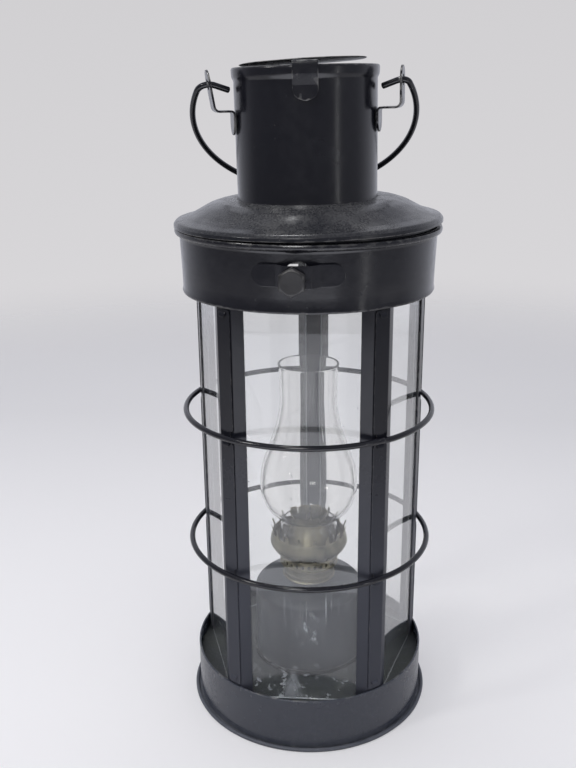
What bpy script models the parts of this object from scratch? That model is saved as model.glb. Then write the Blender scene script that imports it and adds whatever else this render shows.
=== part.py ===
"""Hanging oil lantern: a five-sided glazed body, a lift-off hood with a bail, and a small oil lamp.

Frame: millimetres in the constants below, metres in the scene, +Z up, origin at the centre of the
underside.  The front pane faces -Y and the rear post stands on +Y.
"""
import math

import bmesh
import bpy
from mathutils import Matrix, Vector

MM = 0.001
GAP = 0.3                       # clearance between touching sheets
SHEET = 0.8                     # tinplate thickness
FACETS = 48                     # sides of the large turned sheets
LAMP_FACETS = 24                # sides of the small turned pieces
WIRE_SIDES = 8
SHARP = math.radians(35)

# Base pan
BASE_RADIUS = 90.05
BASE_SEAM_TOP = 2.7
PAN_RADIUS = 86.4
PAN_TOP = 40.0
PAN_HEM = 4.0
DECK_TOP = 30.0
SEAT_RING_RADIUS = 42.4
SEAT_RING_HEIGHT = 3.4

# Glazed cage
SIDES = 5
STEP_ANGLE = 360.0 / SIDES
REAR_POST_ANGLE = 90.0
FRONT_PANE_ANGLE = 270.0
PANE_FACE = 70.6                # axis to the outer face of a pane
PANE_THICKNESS = 2.0
PANE_WIDTH = 86.0
PANE_TOP = 325.0
POST_FACE = 84.2                # axis to the outer face of a post's middle strip
POST_FLANGE = 7.6
POST_TOP = 350.0
COVER_WIDTH = 10.8
COVER_THICKNESS = 0.7
COVER_CORNER = 2.2
COVER_BOTTOM = 40.6
COVER_TOP = 315.4
COVER_NECK_HALF = 3.5           # half the height of a neck behind a guard ring
RING_RADIUS = 88.0
WIRE_RADIUS = 2.0
RING_LOWER_Z = 129.5
RING_UPPER_Z = 230.0
TAB_WIDTH = 6.4
TAB_REACH = 5.0
TAB_THICKNESS = 0.7
TAB_DROOP = 28.0                # degrees below level
TAB_BELOW_RING = 3.4

# Top band and its hood lock
BAND_BOTTOM = 316.0
BAND_TOP = 358.7
BAND_BOTTOM_RADIUS = 85.7
BAND_TOP_RADIUS = 87.2
BAND_BEAD_RADIUS = 90.2
BAND_BEAD_HEIGHT = 4.8
BAND_HOLE_RADIUS = 9.3
LOCK_TURN = -1.0                # degrees the lock sits off the front pane's centre
LOCK_Z = 340.0
BRIDGE_RADIUS = 87.2            # inner face of the bridge's feet
BRIDGE_HALF_LENGTH = 28.3
BRIDGE_HEIGHT = 15.2
BRIDGE_RISE = 5.2
BRIDGE_PLATEAU = 7.3
BRIDGE_FOOT = 13.2
BRIDGE_SHEET = 1.2
SCREW_X = -3.0
SCREW_Z = 337.7
SCREW_RADIUS = 3.9
SCREW_FLATS = 15.7
SCREW_HEAD = 5.0
SCREW_TIP_RADIUS = 74.5         # distance of the screw's tip from the lantern's axis
SCREW_BORE = 4.3
RETAINER_RADIUS = 5.6
RETAINER_SETBACK = 2.2          # behind the bridge's plateau
RETAINER_THICKNESS = 1.0
FORK_RADIUS = 82.9              # inner face of the fork
FORK_SHEET = 1.0
FORK_INNER = 8.7
FORK_OUTER = 11.9
FORK_BOTTOM = 333.5
FORK_WEB = 351.8
CLAMP_RADIUS = 81.4             # inner face of the clamp plate
CLAMP_SHEET = 1.2
CLAMP_HALF_WIDTH = 13.5
CLAMP_BOTTOM = 331.5
CLAMP_TOP = 344.0
NUT_FLATS = 13.0
NUT_FACE_RADIUS = 76.0

# Hood
HOOD_TURN = 3.0                 # degrees the hood sits off the body
HOOD_TILT = 0.9                 # degrees the hood rocks on the band's rim
HOOD_LOW_SIDE = 180.0           # azimuth where the hood touches the rim, in the hood's own frame
HOOD_SEAT = BAND_TOP + GAP
HOOD_RADIUS = 90.25
HOOD_HEM = 1.6
COLLAR_RADIUS = 85.4
COLLAR_BOTTOM = 351.5
COLLAR_TOP = 362.4
TUBE_RADIUS = 47.0
TUBE_TOP = 457.6
TUBE_RIM_RADIUS = 48.0
TUBE_RIM_BOTTOM = 450.0
TUBE_FOOT = 373.3
TUBE_FOOT_RADIUS = 50.5
DOME_CREST = 375.2

# Ears and bail
EAR_ANGLE = 13.0                # degrees each ear sits forward of the side
EAR_REACH = 62.6
EAR_WIDTH = 15.5
EAR_SHEET = 1.4
EAR_ELBOW = 4.0
EAR_LEANS = {"ear_left": 0.15, "ear_right": 0.0}        # sideways run of each blade per unit of height
EAR_TAB_BOTTOM = 416.5
EAR_ARM_Z = 431.3
EAR_TOP = 456.5
PIVOT_Z = 447.8
PIVOT_HOLE = 3.6
BAIL_RADIUS = 74.0
BAIL_DROP = 34.5                # pivot line to the centre of the bail's arc
BAIL_OFFSET = -1.2              # the bail hangs a little to the left
BAIL_REST = 41.9                # degrees the resting bail hangs below level, to the rear
BAIL_HOOK_BEND = 8.0            # radius of the bend inside each ear
BAIL_HOOK_SLOPE = 28.0          # degrees the hooked end slopes in the bail's plane
BAIL_HOOK_END = 49.2            # distance of each hook's tip from the hood's axis

# Cap
CAP_RADIUS = 41.2
CAP_OFFSET = -1.5
CAP_ROLL = 1.9
CAP_PITCH = 0.6
STRAP_WIDTH = 15.5
STRAP_SHEET = 0.7
STRAP_TOP = 459.6
STRAP_TIP = 436.7
STRAP_BEND = 445.8
STRAP_CLEAR = 452.4
STRAP_STAND = 48.5              # inner face of the strap where it passes the rim

# Lamp
FONT_RADIUS = 40.8
FONT_SHOULDER = 86.5
FONT_CROWN = 93.0
FONT_MOUTH = 15.6
NECK_RADIUS = 18.8
NECK_TOP = 103.7
THREAD_RADIUS = 15.0
SCREEN_RADIUS = 21.8
SCREEN_TOP = 112.0
SCREEN_SHEET = 0.6
GALLERY_SHEET = 0.5
GALLERY_SLOTS = 12
SEAT_Z = 117.4
CONE_PETALS = 8
WICK_WIDTH = 12.4
WICK_THICKNESS = 2.4
WICK_BOTTOM = 36.0
WICK_TOP = 141.0
TUBE_WALL = 0.5
WICK_TUBE_TOP = 140.0
SHAFT_Z = 110.2
SPUR_RADIUS = 3.2
SHAFT_RADIUS = 1.0
SHAFT_X = WICK_THICKNESS / 2 + GAP + SPUR_RADIUS
KNOB_RADIUS = 8.0
KNOB_START = 33.0
KNOB_END = 36.5
GLASS_WALL = 1.6

COLOURS = {
    "black_paint": ((0.020, 0.022, 0.028), 0.32, 0.0),
    "clear_glass": ((0.90, 0.95, 0.94), 0.04, 0.0),
    "aged_brass": ((0.30, 0.27, 0.19), 0.45, 1.0),
    "dark_steel": ((0.06, 0.06, 0.06), 0.40, 1.0),
    "cotton": ((0.75, 0.70, 0.60), 0.95, 0.0),
}


def clear_scene():
    for item in list(bpy.data.objects):
        bpy.data.objects.remove(item, do_unlink=True)


def make_material(slot):
    if slot in bpy.data.materials:
        return bpy.data.materials[slot]
    colour, roughness, metallic = COLOURS[slot]
    made = bpy.data.materials.new(slot)
    made.use_nodes = True
    shader = made.node_tree.nodes["Principled BSDF"]
    shader.inputs["Base Color"].default_value = (*colour, 1.0)
    shader.inputs["Roughness"].default_value = roughness
    shader.inputs["Metallic"].default_value = metallic
    return made


def make_frame(name, parent=None, location=(0, 0, 0), turn=0.0):
    """Empty that carries pieces; location in millimetres, turn in degrees about +Z."""
    frame = bpy.data.objects.new(name, None)
    bpy.context.collection.objects.link(frame)
    frame.parent = parent
    frame.location = Vector(location) * MM
    frame.rotation_euler = (0, 0, math.radians(turn))
    return frame


def make_object(name, bm, slot, parent=None, location=(0, 0, 0), turn=0.0):
    """Turn a bmesh drawn in millimetres into a named object."""
    bmesh.ops.scale(bm, vec=(MM, MM, MM), verts=bm.verts)
    mesh = bpy.data.meshes.new(name)
    bm.to_mesh(mesh)
    bm.free()
    mesh.shade_smooth()
    mesh.set_sharp_from_angle(angle=SHARP)
    mesh.materials.append(make_material(slot))
    made = bpy.data.objects.new(name, mesh)
    bpy.context.collection.objects.link(made)
    made.parent = parent
    made.location = Vector(location) * MM
    made.rotation_euler = (0, 0, math.radians(turn))
    return made


def combine(target, tool, operation):
    """Cut the tool out of the target, or join it on; the tool is used up."""
    change = target.modifiers.new(tool.name, "BOOLEAN")
    change.operation = operation
    change.object = tool
    depsgraph = bpy.context.evaluated_depsgraph_get()
    before = target.data
    target.data = bpy.data.meshes.new_from_object(target.evaluated_get(depsgraph))
    target.modifiers.clear()
    bpy.data.meshes.remove(before)
    bpy.data.objects.remove(tool, do_unlink=True)


def thicken(path, thickness):
    """Closed outline of a sheet: the path is one face, the other lies to its left."""
    points = [Vector(point) for point in path]
    normals = []
    for start, end in zip(points, points[1:]):
        along = (end - start).normalized()
        normals.append(Vector((-along.y, along.x)))
    offset = []
    for index, point in enumerate(points):
        before = normals[max(index - 1, 0)]
        after = normals[min(index, len(normals) - 1)]
        offset.append(point + (before + after) * (thickness / (1.0 + before.dot(after))))
    return points + offset[::-1]


def fillet(path, radii, steps):
    """Round the corners of a path; radii gives each point's corner radius, 0 for none."""
    rounded = []
    for index, (point, radius) in enumerate(zip(path, radii)):
        point = Vector(point)
        if radius == 0:
            rounded.append(point)
            continue
        back = (Vector(path[index - 1]) - point).normalized()
        ahead = (Vector(path[index + 1]) - point).normalized()
        half = back.angle(ahead) / 2
        centre = point + (back + ahead).normalized() * (radius / math.sin(half))
        begin = point + back * (radius / math.tan(half)) - centre
        turn = begin.angle_signed(point + ahead * (radius / math.tan(half)) - centre)
        for step in range(steps + 1):
            spin = Matrix.Rotation(-turn * step / steps, 2)
            rounded.append(centre + spin @ begin)
    return rounded


def smooth(points, steps=3):
    """Catmull-Rom curve through the points."""
    ends = [points[0]] + list(points) + [points[-1]]
    curve = []
    for p0, p1, p2, p3 in zip(ends, ends[1:], ends[2:], ends[3:]):
        for step in range(steps):
            t = step / steps
            curve.append(tuple(
                0.5 * (2 * b + (c - a) * t + (2 * a - 5 * b + 4 * c - d) * t ** 2
                       + (3 * b - a - 3 * c + d) * t ** 3)
                for a, b, c, d in zip(p0, p1, p2, p3)))
    return curve + [tuple(points[-1])]


def arc(centre, radius, start, end, steps):
    """Points on a circle from angle start to angle end, in degrees."""
    angles = [math.radians(start + (end - start) * step / steps) for step in range(steps + 1)]
    return [(centre[0] + radius * math.cos(a), centre[1] + radius * math.sin(a)) for a in angles]


def revolved(outline, facets):
    """Turned solid about Z from (radius, height) points; an outline that meets the axis is open there."""
    bm = bmesh.new()
    verts = [bm.verts.new((point[0], 0.0, point[1])) for point in outline]
    closing = [] if outline[0][0] == 0 else [(verts[-1], verts[0])]
    edges = [bm.edges.new(pair) for pair in list(zip(verts, verts[1:])) + closing]
    bmesh.ops.spin(bm, geom=verts + edges, cent=(0, 0, 0), axis=(0, 0, 1), angle=math.tau,
                   steps=facets, use_merge=True)
    bmesh.ops.remove_doubles(bm, verts=bm.verts, dist=0.001)
    bmesh.ops.recalc_face_normals(bm, faces=bm.faces)
    return bm


def extruded(outline, low, high):
    """Prism from a flat (x, y) outline between two heights."""
    bm = bmesh.new()
    face = bm.faces.new([bm.verts.new((point[0], point[1], low)) for point in outline])
    grown = bmesh.ops.extrude_face_region(bm, geom=[face])
    moved = [item for item in grown["geom"] if isinstance(item, bmesh.types.BMVert)]
    bmesh.ops.translate(bm, verts=moved, vec=(0, 0, high - low))
    bmesh.ops.recalc_face_normals(bm, faces=bm.faces)
    return bm


def box_bmesh(low, high):
    low = Vector(low)
    high = Vector(high)
    bm = bmesh.new()
    bmesh.ops.create_cube(bm, size=1.0)
    bmesh.ops.scale(bm, vec=high - low, verts=bm.verts)
    bmesh.ops.translate(bm, vec=(low + high) / 2, verts=bm.verts)
    return bm


def round_tips(bm, is_tip, along, radius, segments=5):
    """Round the corners of a strip's ends: the edges at a tip that run along one direction."""
    along = Vector(along)
    corners = []
    for edge in bm.edges:
        line = (edge.verts[1].co - edge.verts[0].co).normalized()
        if abs(line.dot(along)) > 0.99 and all(is_tip(vert.co) for vert in edge.verts):
            corners.append(edge)
    bmesh.ops.bevel(bm, geom=corners, offset=radius, segments=segments, profile=0.5, affect="EDGES")


def grid_sheet(columns, rows, place, keep, closed):
    """Open surface of quads; keep(column, row) says which cells are metal."""
    bm = bmesh.new()
    lines = [[bm.verts.new(place(column, row)) for row in range(rows + 1)]
             for column in range(columns if closed else columns + 1)]
    for column in range(columns):
        left = lines[column]
        right = lines[(column + 1) % len(lines)]
        for row in range(rows):
            if keep(column, row):
                bm.faces.new((left[row], right[row], right[row + 1], left[row + 1]))
    loose = [vert for vert in bm.verts if not vert.link_faces]
    bmesh.ops.delete(bm, geom=loose, context="VERTS")
    return bm


def add_thickness(target, thickness):
    """Grow a sheet inwards, away from the side its faces point to."""
    solid = target.modifiers.new("thickness", "SOLIDIFY")
    solid.thickness = thickness * MM
    solid.offset = -1.0
    solid.use_even_offset = True


def on_cylinder(along, outward, height, radius=BRIDGE_RADIUS):
    """Wrap flat sheet coordinates round the lantern's front, facing -Y."""
    angle = along / radius
    return Vector(((radius + outward) * math.sin(angle), -(radius + outward) * math.cos(angle), height))


def cylinder_tool(name, radius, low, high, facets, parent=None, location=(0, 0, 0)):
    """Round cutter along local Y."""
    bm = revolved([(0, low), (radius, low), (radius, high), (0, high)], facets)
    bmesh.ops.rotate(bm, verts=bm.verts, matrix=Matrix.Rotation(math.radians(-90), 3, "X"))
    return make_object(name, bm, "dark_steel", parent, location)


def build_base():
    lip = 0.5
    fold = 1.9
    plate = [(0, 0), (BASE_RADIUS - 0.6, 0), (BASE_RADIUS, 0.6), (BASE_RADIUS, BASE_SEAM_TOP - 0.5),
             (BASE_RADIUS - 0.5, BASE_SEAM_TOP), (BASE_RADIUS - 2.0, BASE_SEAM_TOP),
             (BASE_RADIUS - 2.0, BASE_SEAM_TOP - lip), (BASE_RADIUS - SHEET, BASE_SEAM_TOP - lip),
             (BASE_RADIUS - SHEET, SHEET), (0, SHEET)]
    make_object("base_plate", revolved(plate, FACETS), "black_paint")

    inner = PAN_RADIUS - SHEET
    flange = BASE_RADIUS - SHEET - GAP
    wall = [(inner, SHEET + GAP), (flange, SHEET + GAP), (flange, fold), (PAN_RADIUS, fold),
            (PAN_RADIUS, PAN_TOP - 0.6), (PAN_RADIUS - 0.4, PAN_TOP), (inner - 0.3, PAN_TOP),
            (inner - 0.7, PAN_TOP - 0.6), (inner - 0.7, PAN_TOP - PAN_HEM), (inner, PAN_TOP - PAN_HEM)]
    make_object("pan_wall", revolved(wall, FACETS), "black_paint")

    skirt = inner - GAP
    deck = [(0, DECK_TOP), (skirt - 1.0, DECK_TOP), (skirt, DECK_TOP - 1.0), (skirt, SHEET + GAP),
            (skirt - SHEET, SHEET + GAP), (skirt - SHEET, DECK_TOP - 1.4), (skirt - 1.4, DECK_TOP - SHEET),
            (0, DECK_TOP - SHEET)]
    make_object("deck_plate", revolved(deck, FACETS), "black_paint")

    bottom = DECK_TOP + GAP
    seat = [(SEAT_RING_RADIUS, bottom), (SEAT_RING_RADIUS, bottom + SEAT_RING_HEIGHT),
            (SEAT_RING_RADIUS - SHEET, bottom + SEAT_RING_HEIGHT), (SEAT_RING_RADIUS - SHEET, bottom)]
    make_object("font_seat_ring", revolved(seat, LAMP_FACETS), "black_paint")


def post_outline():
    """Hat section: a middle strip tangent to the cage and two flanges lying along the panes."""
    half = math.radians(STEP_ANGLE / 2)
    flange_face = PANE_FACE + GAP + SHEET
    edge = (flange_face - POST_FACE * math.cos(half)) / math.sin(half)
    tip = (POST_FACE - POST_FLANGE * math.sin(half), edge + POST_FLANGE * math.cos(half))
    path = [(tip[0], -tip[1]), (POST_FACE, -edge), (POST_FACE, edge), tip]
    return thicken(path, SHEET)


def cover_outline():
    """Strip in the (sideways, height) plane: three rounded stretches joined by necks behind the rings."""
    corner = COVER_CORNER
    levels = (COVER_BOTTOM, RING_LOWER_Z, RING_UPPER_Z, COVER_TOP)
    side = []
    for index, (below, above) in enumerate(zip(levels, levels[1:])):
        low = below if index == 0 else below + COVER_NECK_HALF
        high = above if index == len(levels) - 2 else above - COVER_NECK_HALF
        side += arc((COVER_WIDTH / 2 - corner, low + corner), corner, -90, 0, 2)
        side += arc((COVER_WIDTH / 2 - corner, high - corner), corner, 0, 90, 2)
    return side + [(-across, height) for across, height in reversed(side)]


def stand_up(bm):
    """Turn a prism drawn in (sideways, height, outward) to stand on edge, facing local +X."""
    flip = Matrix(((0, 0, 1), (1, 0, 0), (0, 1, 0)))
    bmesh.ops.transform(bm, matrix=flip.to_4x4(), verts=bm.verts)


def make_tab(name, angle, height):
    """Half-round tongue lanced from a post's cover; it leans out and down under a guard ring."""
    half = TAB_WIDTH / 2
    outline = [(0, -half)] + arc((TAB_REACH - half, 0), half, -90, 90, 4) + [(0, half)]
    bm = extruded(outline, 0, TAB_THICKNESS)
    tilt = Matrix.Rotation(math.radians(TAB_DROOP), 4, "Y")
    root = POST_FACE + GAP + COVER_THICKNESS / 2
    bmesh.ops.transform(bm, matrix=Matrix.Translation((root, 0, height)) @ tilt, verts=bm.verts)
    return make_object(name, bm, "black_paint", turn=angle)


def build_cage():
    outline = post_outline()
    face = POST_FACE + GAP
    for index in range(SIDES):
        number = index + 1
        post_angle = REAR_POST_ANGLE + STEP_ANGLE * index
        post = extruded(outline, DECK_TOP + GAP, POST_TOP)
        make_object(f"post_{number}", post, "black_paint", turn=post_angle)
        strip = extruded(cover_outline(), face, face + COVER_THICKNESS)
        stand_up(strip)
        cover = make_object(f"post_cover_{number}", strip, "black_paint", turn=post_angle)
        for height in (RING_LOWER_Z, RING_UPPER_Z):
            combine(cover, make_tab("ring_tab", post_angle, height - TAB_BELOW_RING), "UNION")
        pane = box_bmesh((PANE_FACE - PANE_THICKNESS, -PANE_WIDTH / 2, DECK_TOP + GAP),
                         (PANE_FACE, PANE_WIDTH / 2, PANE_TOP))
        pane_angle = FRONT_PANE_ANGLE + STEP_ANGLE * index
        make_object(f"pane_{number}", pane, "clear_glass", turn=pane_angle)

    for name, height in (("guard_ring_lower", RING_LOWER_Z), ("guard_ring_upper", RING_UPPER_Z)):
        section = arc((RING_RADIUS, height), WIRE_RADIUS, 0, 360 - 360 / WIRE_SIDES, WIRE_SIDES - 1)
        make_object(name, revolved(section, FACETS), "black_paint")


def band_radius(height):
    share = (height - BAND_BOTTOM) / (BAND_TOP - BAND_BOTTOM)
    return BAND_BOTTOM_RADIUS + (BAND_TOP_RADIUS - BAND_BOTTOM_RADIUS) * share


def build_band():
    bead_bottom = BAND_TOP - BAND_BEAD_HEIGHT
    outline = [(BAND_BOTTOM_RADIUS - SHEET, BAND_BOTTOM), (BAND_BOTTOM_RADIUS + 0.6, BAND_BOTTOM),
               (BAND_BOTTOM_RADIUS + 0.6, BAND_BOTTOM + 1.6), (BAND_BOTTOM_RADIUS, BAND_BOTTOM + 2.2),
               (band_radius(bead_bottom), bead_bottom), (BAND_BEAD_RADIUS, bead_bottom + 1.6),
               (BAND_BEAD_RADIUS, BAND_TOP - 0.8), (BAND_BEAD_RADIUS - 0.8, BAND_TOP),
               (BAND_TOP_RADIUS - SHEET, BAND_TOP)]
    band = make_object("top_band", revolved(outline, FACETS), "black_paint")
    lock = make_frame("lock_frame", turn=LOCK_TURN)
    middle = (0, -BAND_TOP_RADIUS, LOCK_Z)
    hole = cylinder_tool("band_hole_cutter", BAND_HOLE_RADIUS, -8, 8, 32, lock, middle)
    combine(band, hole, "DIFFERENCE")
    return lock


def spread(start, end, parts):
    return [start + (end - start) * step / parts for step in range(parts)]


def build_lock(lock):
    """Bridge, captive hex screw and the clamp that pinches the hood's fork."""
    half = BRIDGE_HALF_LENGTH
    stations = (spread(-half, -BRIDGE_FOOT, 4) + spread(-BRIDGE_FOOT, -BRIDGE_PLATEAU, 1)
                + spread(-BRIDGE_PLATEAU, BRIDGE_PLATEAU, 3) + spread(BRIDGE_PLATEAU, BRIDGE_FOOT, 1)
                + spread(BRIDGE_FOOT, half, 4) + [half])
    path = []
    for along in stations:
        ramp = (BRIDGE_FOOT - abs(along)) / (BRIDGE_FOOT - BRIDGE_PLATEAU)
        path.append((along, BRIDGE_RISE * min(max(ramp, 0.0), 1.0)))
    low = LOCK_Z - BRIDGE_HEIGHT / 2
    bridge = extruded(thicken(path, BRIDGE_SHEET), low, low + BRIDGE_HEIGHT)
    round_tips(bridge, lambda co: abs(co.x) > half - 0.01, (0, 1, 0), BRIDGE_HEIGHT / 2 - 1.0)
    for vert in bridge.verts:
        vert.co = on_cylinder(vert.co.x, vert.co.y, vert.co.z)
    bridge = make_object("lock_bridge", bridge, "black_paint", lock)
    reach = 12.0
    axis_point = (SCREW_X, -BRIDGE_RADIUS - BRIDGE_RISE, SCREW_Z)
    bore = cylinder_tool("bridge_bore", SCREW_BORE, -reach, reach, 20, lock, axis_point)
    combine(bridge, bore, "DIFFERENCE")

    # The screw's local frame: origin on its axis under the head, local +Z pointing out of the head.
    under_head = BRIDGE_RADIUS + BRIDGE_RISE + BRIDGE_SHEET + GAP
    corner = SCREW_FLATS / 2 / math.cos(math.radians(30))
    head = revolved([(0, 0), (corner, 0), (corner, SCREW_HEAD - 1.2), (corner - 1.4, SCREW_HEAD),
                     (0, SCREW_HEAD)], 6)
    bmesh.ops.rotate(head, verts=head.verts, matrix=Matrix.Rotation(math.radians(90), 3, "Z"))
    length = under_head - SCREW_TIP_RADIUS
    shank = revolved([(0, 1), (SCREW_RADIUS, 1), (SCREW_RADIUS, -length + 1), (SCREW_RADIUS - 1, -length),
                      (0, -length)], 20)
    outward = Matrix.Rotation(math.radians(90), 3, "X")
    for bm in (head, shank):
        bmesh.ops.rotate(bm, verts=bm.verts, matrix=outward)
    seat = (SCREW_X, -under_head, SCREW_Z)
    screw = make_object("lock_screw", head, "black_paint", lock, seat)
    combine(screw, make_object("screw_shank", shank, "black_paint", lock, seat), "UNION")

    inside = BRIDGE_RADIUS + BRIDGE_RISE - RETAINER_SETBACK
    ring = revolved([(SCREW_RADIUS + GAP, 0), (RETAINER_RADIUS, 0), (RETAINER_RADIUS, RETAINER_THICKNESS),
                     (SCREW_RADIUS + GAP, RETAINER_THICKNESS)], 20)
    bmesh.ops.rotate(ring, verts=ring.verts, matrix=outward)
    make_object("screw_retainer", ring, "dark_steel", lock,
                (SCREW_X, -inside + RETAINER_THICKNESS, SCREW_Z))

    columns = 6
    faces = (CLAMP_BOTTOM, CLAMP_TOP)
    where = (SCREW_X, -CLAMP_RADIUS, SCREW_Z)

    def clamp_place(column, row):
        along = SCREW_X + CLAMP_HALF_WIDTH * (2 * column / columns - 1)
        return on_cylinder(along, CLAMP_SHEET, faces[row], CLAMP_RADIUS) - Vector(where)

    plate = grid_sheet(columns, 1, clamp_place, lambda column, row: True, False)
    clamp = make_object("clamp_nut", plate, "dark_steel", lock, where)
    add_thickness(clamp, CLAMP_SHEET)
    nut_corner = NUT_FLATS / 2 / math.cos(math.radians(30))
    nut_face = NUT_FACE_RADIUS - CLAMP_RADIUS
    boss = [(0, CLAMP_SHEET / 2), (nut_corner, CLAMP_SHEET / 2), (nut_corner, nut_face), (0, nut_face)]
    nut = revolved(boss, 6)
    bmesh.ops.rotate(nut, verts=nut.verts, matrix=outward)
    combine(clamp, make_object("nut_boss", nut, "dark_steel", lock, where), "UNION")
    bore = cylinder_tool("nut_bore", SCREW_BORE, -reach, reach, 20, lock, where)
    combine(clamp, bore, "DIFFERENCE")


def build_hood_frame():
    """Frame of the rocked hood: turned, then tilted about the point where its rim touches the band."""
    low_side = math.radians(HOOD_LOW_SIDE)
    contact = Vector((HOOD_RADIUS * math.cos(low_side), HOOD_RADIUS * math.sin(low_side), HOOD_SEAT)) * MM
    tangent = Vector((-math.sin(low_side), math.cos(low_side), 0))
    rock = Matrix.Rotation(math.radians(HOOD_TILT), 4, tangent)
    turn = Matrix.Rotation(math.radians(HOOD_TURN), 4, "Z")
    frame = make_frame("hood_frame")
    frame.matrix_local = turn @ Matrix.Translation(contact) @ rock @ Matrix.Translation(-contact)
    return frame


def build_hood(hood, lock):
    """Everything that lifts off with the hood, apart from the bail."""
    face = [(HOOD_RADIUS, HOOD_SEAT), (HOOD_RADIUS, HOOD_SEAT + HOOD_HEM), (88.8, 362.9), (82.0, 364.9),
            (77.0, 367.0), (67.0, 372.5), (60.0, 374.6), (TUBE_RADIUS + GAP, DOME_CREST)]
    make_object("hood_dome", revolved(thicken(face, SHEET), FACETS), "black_paint", hood)

    collar = [(COLLAR_RADIUS, COLLAR_BOTTOM), (COLLAR_RADIUS, COLLAR_TOP),
              (COLLAR_RADIUS - SHEET, COLLAR_TOP), (COLLAR_RADIUS - SHEET, COLLAR_BOTTOM)]
    make_object("hood_collar", revolved(collar, FACETS), "black_paint", hood)

    edges = (-FORK_OUTER, -FORK_INNER, -FORK_INNER / 3, FORK_INNER / 3, FORK_INNER, FORK_OUTER)
    heights = (FORK_BOTTOM, FORK_WEB, 360.6)

    def fork_place(column, row):
        return on_cylinder(SCREW_X + edges[column], FORK_SHEET, heights[row], FORK_RADIUS)

    legs = (0, len(edges) - 2)
    fork = grid_sheet(len(edges) - 1, 2, fork_place, lambda column, row: row == 1 or column in legs, False)
    fork = make_object("hood_fork", fork, "dark_steel", lock)
    add_thickness(fork, FORK_SHEET)

    bore = TUBE_RADIUS - SHEET
    tube = [(bore, TUBE_FOOT), (TUBE_FOOT_RADIUS, TUBE_FOOT), (TUBE_FOOT_RADIUS, TUBE_FOOT + 0.7),
            (TUBE_RADIUS, TUBE_FOOT + 0.7), (TUBE_RADIUS, TUBE_RIM_BOTTOM),
            (TUBE_RIM_RADIUS, TUBE_RIM_BOTTOM + 1.2), (TUBE_RIM_RADIUS, TUBE_TOP - 0.8),
            (TUBE_RIM_RADIUS - 0.8, TUBE_TOP), (bore, TUBE_TOP)]
    make_object("chimney_tube", revolved(tube, FACETS), "black_paint", hood)


def build_ears(hood):
    """Two bent strips: a tab on the chimney wall, a level arm and an upright blade with the pivot hole."""
    wall = TUBE_RADIUS + GAP
    outer = EAR_REACH + EAR_SHEET / 2
    arm = EAR_ARM_Z - EAR_SHEET / 2
    for name, angle in (("ear_left", 180 + EAR_ANGLE), ("ear_right", -EAR_ANGLE)):
        lean = EAR_LEANS[name]
        path = [(wall + EAR_SHEET, EAR_TAB_BOTTOM), (wall + EAR_SHEET, arm),
                (outer - (PIVOT_Z - arm) * lean, arm), (outer + (EAR_TOP - PIVOT_Z) * lean, EAR_TOP)]
        path = fillet(path, (0, 1.0, EAR_ELBOW, 0), 3)
        strip = extruded(thicken(path, EAR_SHEET), -EAR_WIDTH / 2, EAR_WIDTH / 2)
        bmesh.ops.rotate(strip, verts=strip.verts, matrix=Matrix.Rotation(math.radians(90), 3, "X"))
        blade = Vector((1, 0, -lean)).normalized()
        round_tips(strip, lambda co: co.z > EAR_TOP - 1.0, blade, EAR_WIDTH / 2 - 0.4)
        round_tips(strip, lambda co: co.z < EAR_TAB_BOTTOM + 0.1, (1, 0, 0), EAR_WIDTH / 2 - 0.4)
        ear = make_object(name, strip, "black_paint", hood, turn=angle)
        bore = revolved([(0, -4), (PIVOT_HOLE, -4), (PIVOT_HOLE, 4), (0, 4)], 20)
        bmesh.ops.rotate(bore, verts=bore.verts, matrix=Matrix.Rotation(math.radians(90), 3, "Y"))
        bmesh.ops.translate(bore, verts=bore.verts, vec=(EAR_REACH, 0, PIVOT_Z))
        combine(ear, make_object(f"{name}_bore", bore, "dark_steel", hood, turn=angle), "DIFFERENCE")


def bail_side(side):
    """The bail's line from its middle to one hook's tip, as (across, down-plane) points; side is +1 or -1.

    The main arc runs into a smaller arc that is tangent to it and tops out on the pivot line, at the ear.
    """
    pivot = EAR_REACH * math.cos(math.radians(EAR_ANGLE)) - side * BAIL_OFFSET
    bend = (BAIL_RADIUS + BAIL_DROP - pivot ** 2 / (BAIL_RADIUS - BAIL_DROP)) / 2
    sweep = math.degrees(math.atan2(pivot, bend - BAIL_DROP))
    points = arc((0, BAIL_DROP), BAIL_RADIUS, 90, 90 - sweep, 15)
    points += arc((pivot, bend), bend, 90 - sweep, -90, 6)[1:]
    points += arc((pivot, BAIL_HOOK_BEND), BAIL_HOOK_BEND, -90, -90 - BAIL_HOOK_SLOPE, 3)[1:]
    slope = math.radians(BAIL_HOOK_SLOPE)
    last = Vector(points[-1])
    run = last.x - BAIL_HOOK_END + side * BAIL_OFFSET
    tip = last + Vector((-1, math.tan(slope))) * run
    return [(side * across + BAIL_OFFSET, down) for across, down in points + [tuple(tip)]]


def build_bail(hood):
    ear = math.radians(EAR_ANGLE)
    pivot = make_frame("bail_pivot", hood, (0, -EAR_REACH * math.sin(ear), PIVOT_Z))
    line = bail_side(-1)[:0:-1] + bail_side(1)
    drop = math.radians(BAIL_REST)
    curve = bpy.data.curves.new("bail_wire", "CURVE")
    curve.dimensions = "3D"
    curve.bevel_depth = WIRE_RADIUS * MM
    curve.bevel_resolution = 2
    curve.use_fill_caps = True
    curve.materials.append(make_material("black_paint"))
    spline = curve.splines.new("POLY")
    spline.points.add(len(line) - 1)
    for point, (across, down) in zip(spline.points, line):
        point.co = (across * MM, down * math.cos(drop) * MM, -down * math.sin(drop) * MM, 1.0)
    bail = bpy.data.objects.new("bail_wire", curve)
    bpy.context.collection.objects.link(bail)
    bail.parent = pivot


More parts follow.
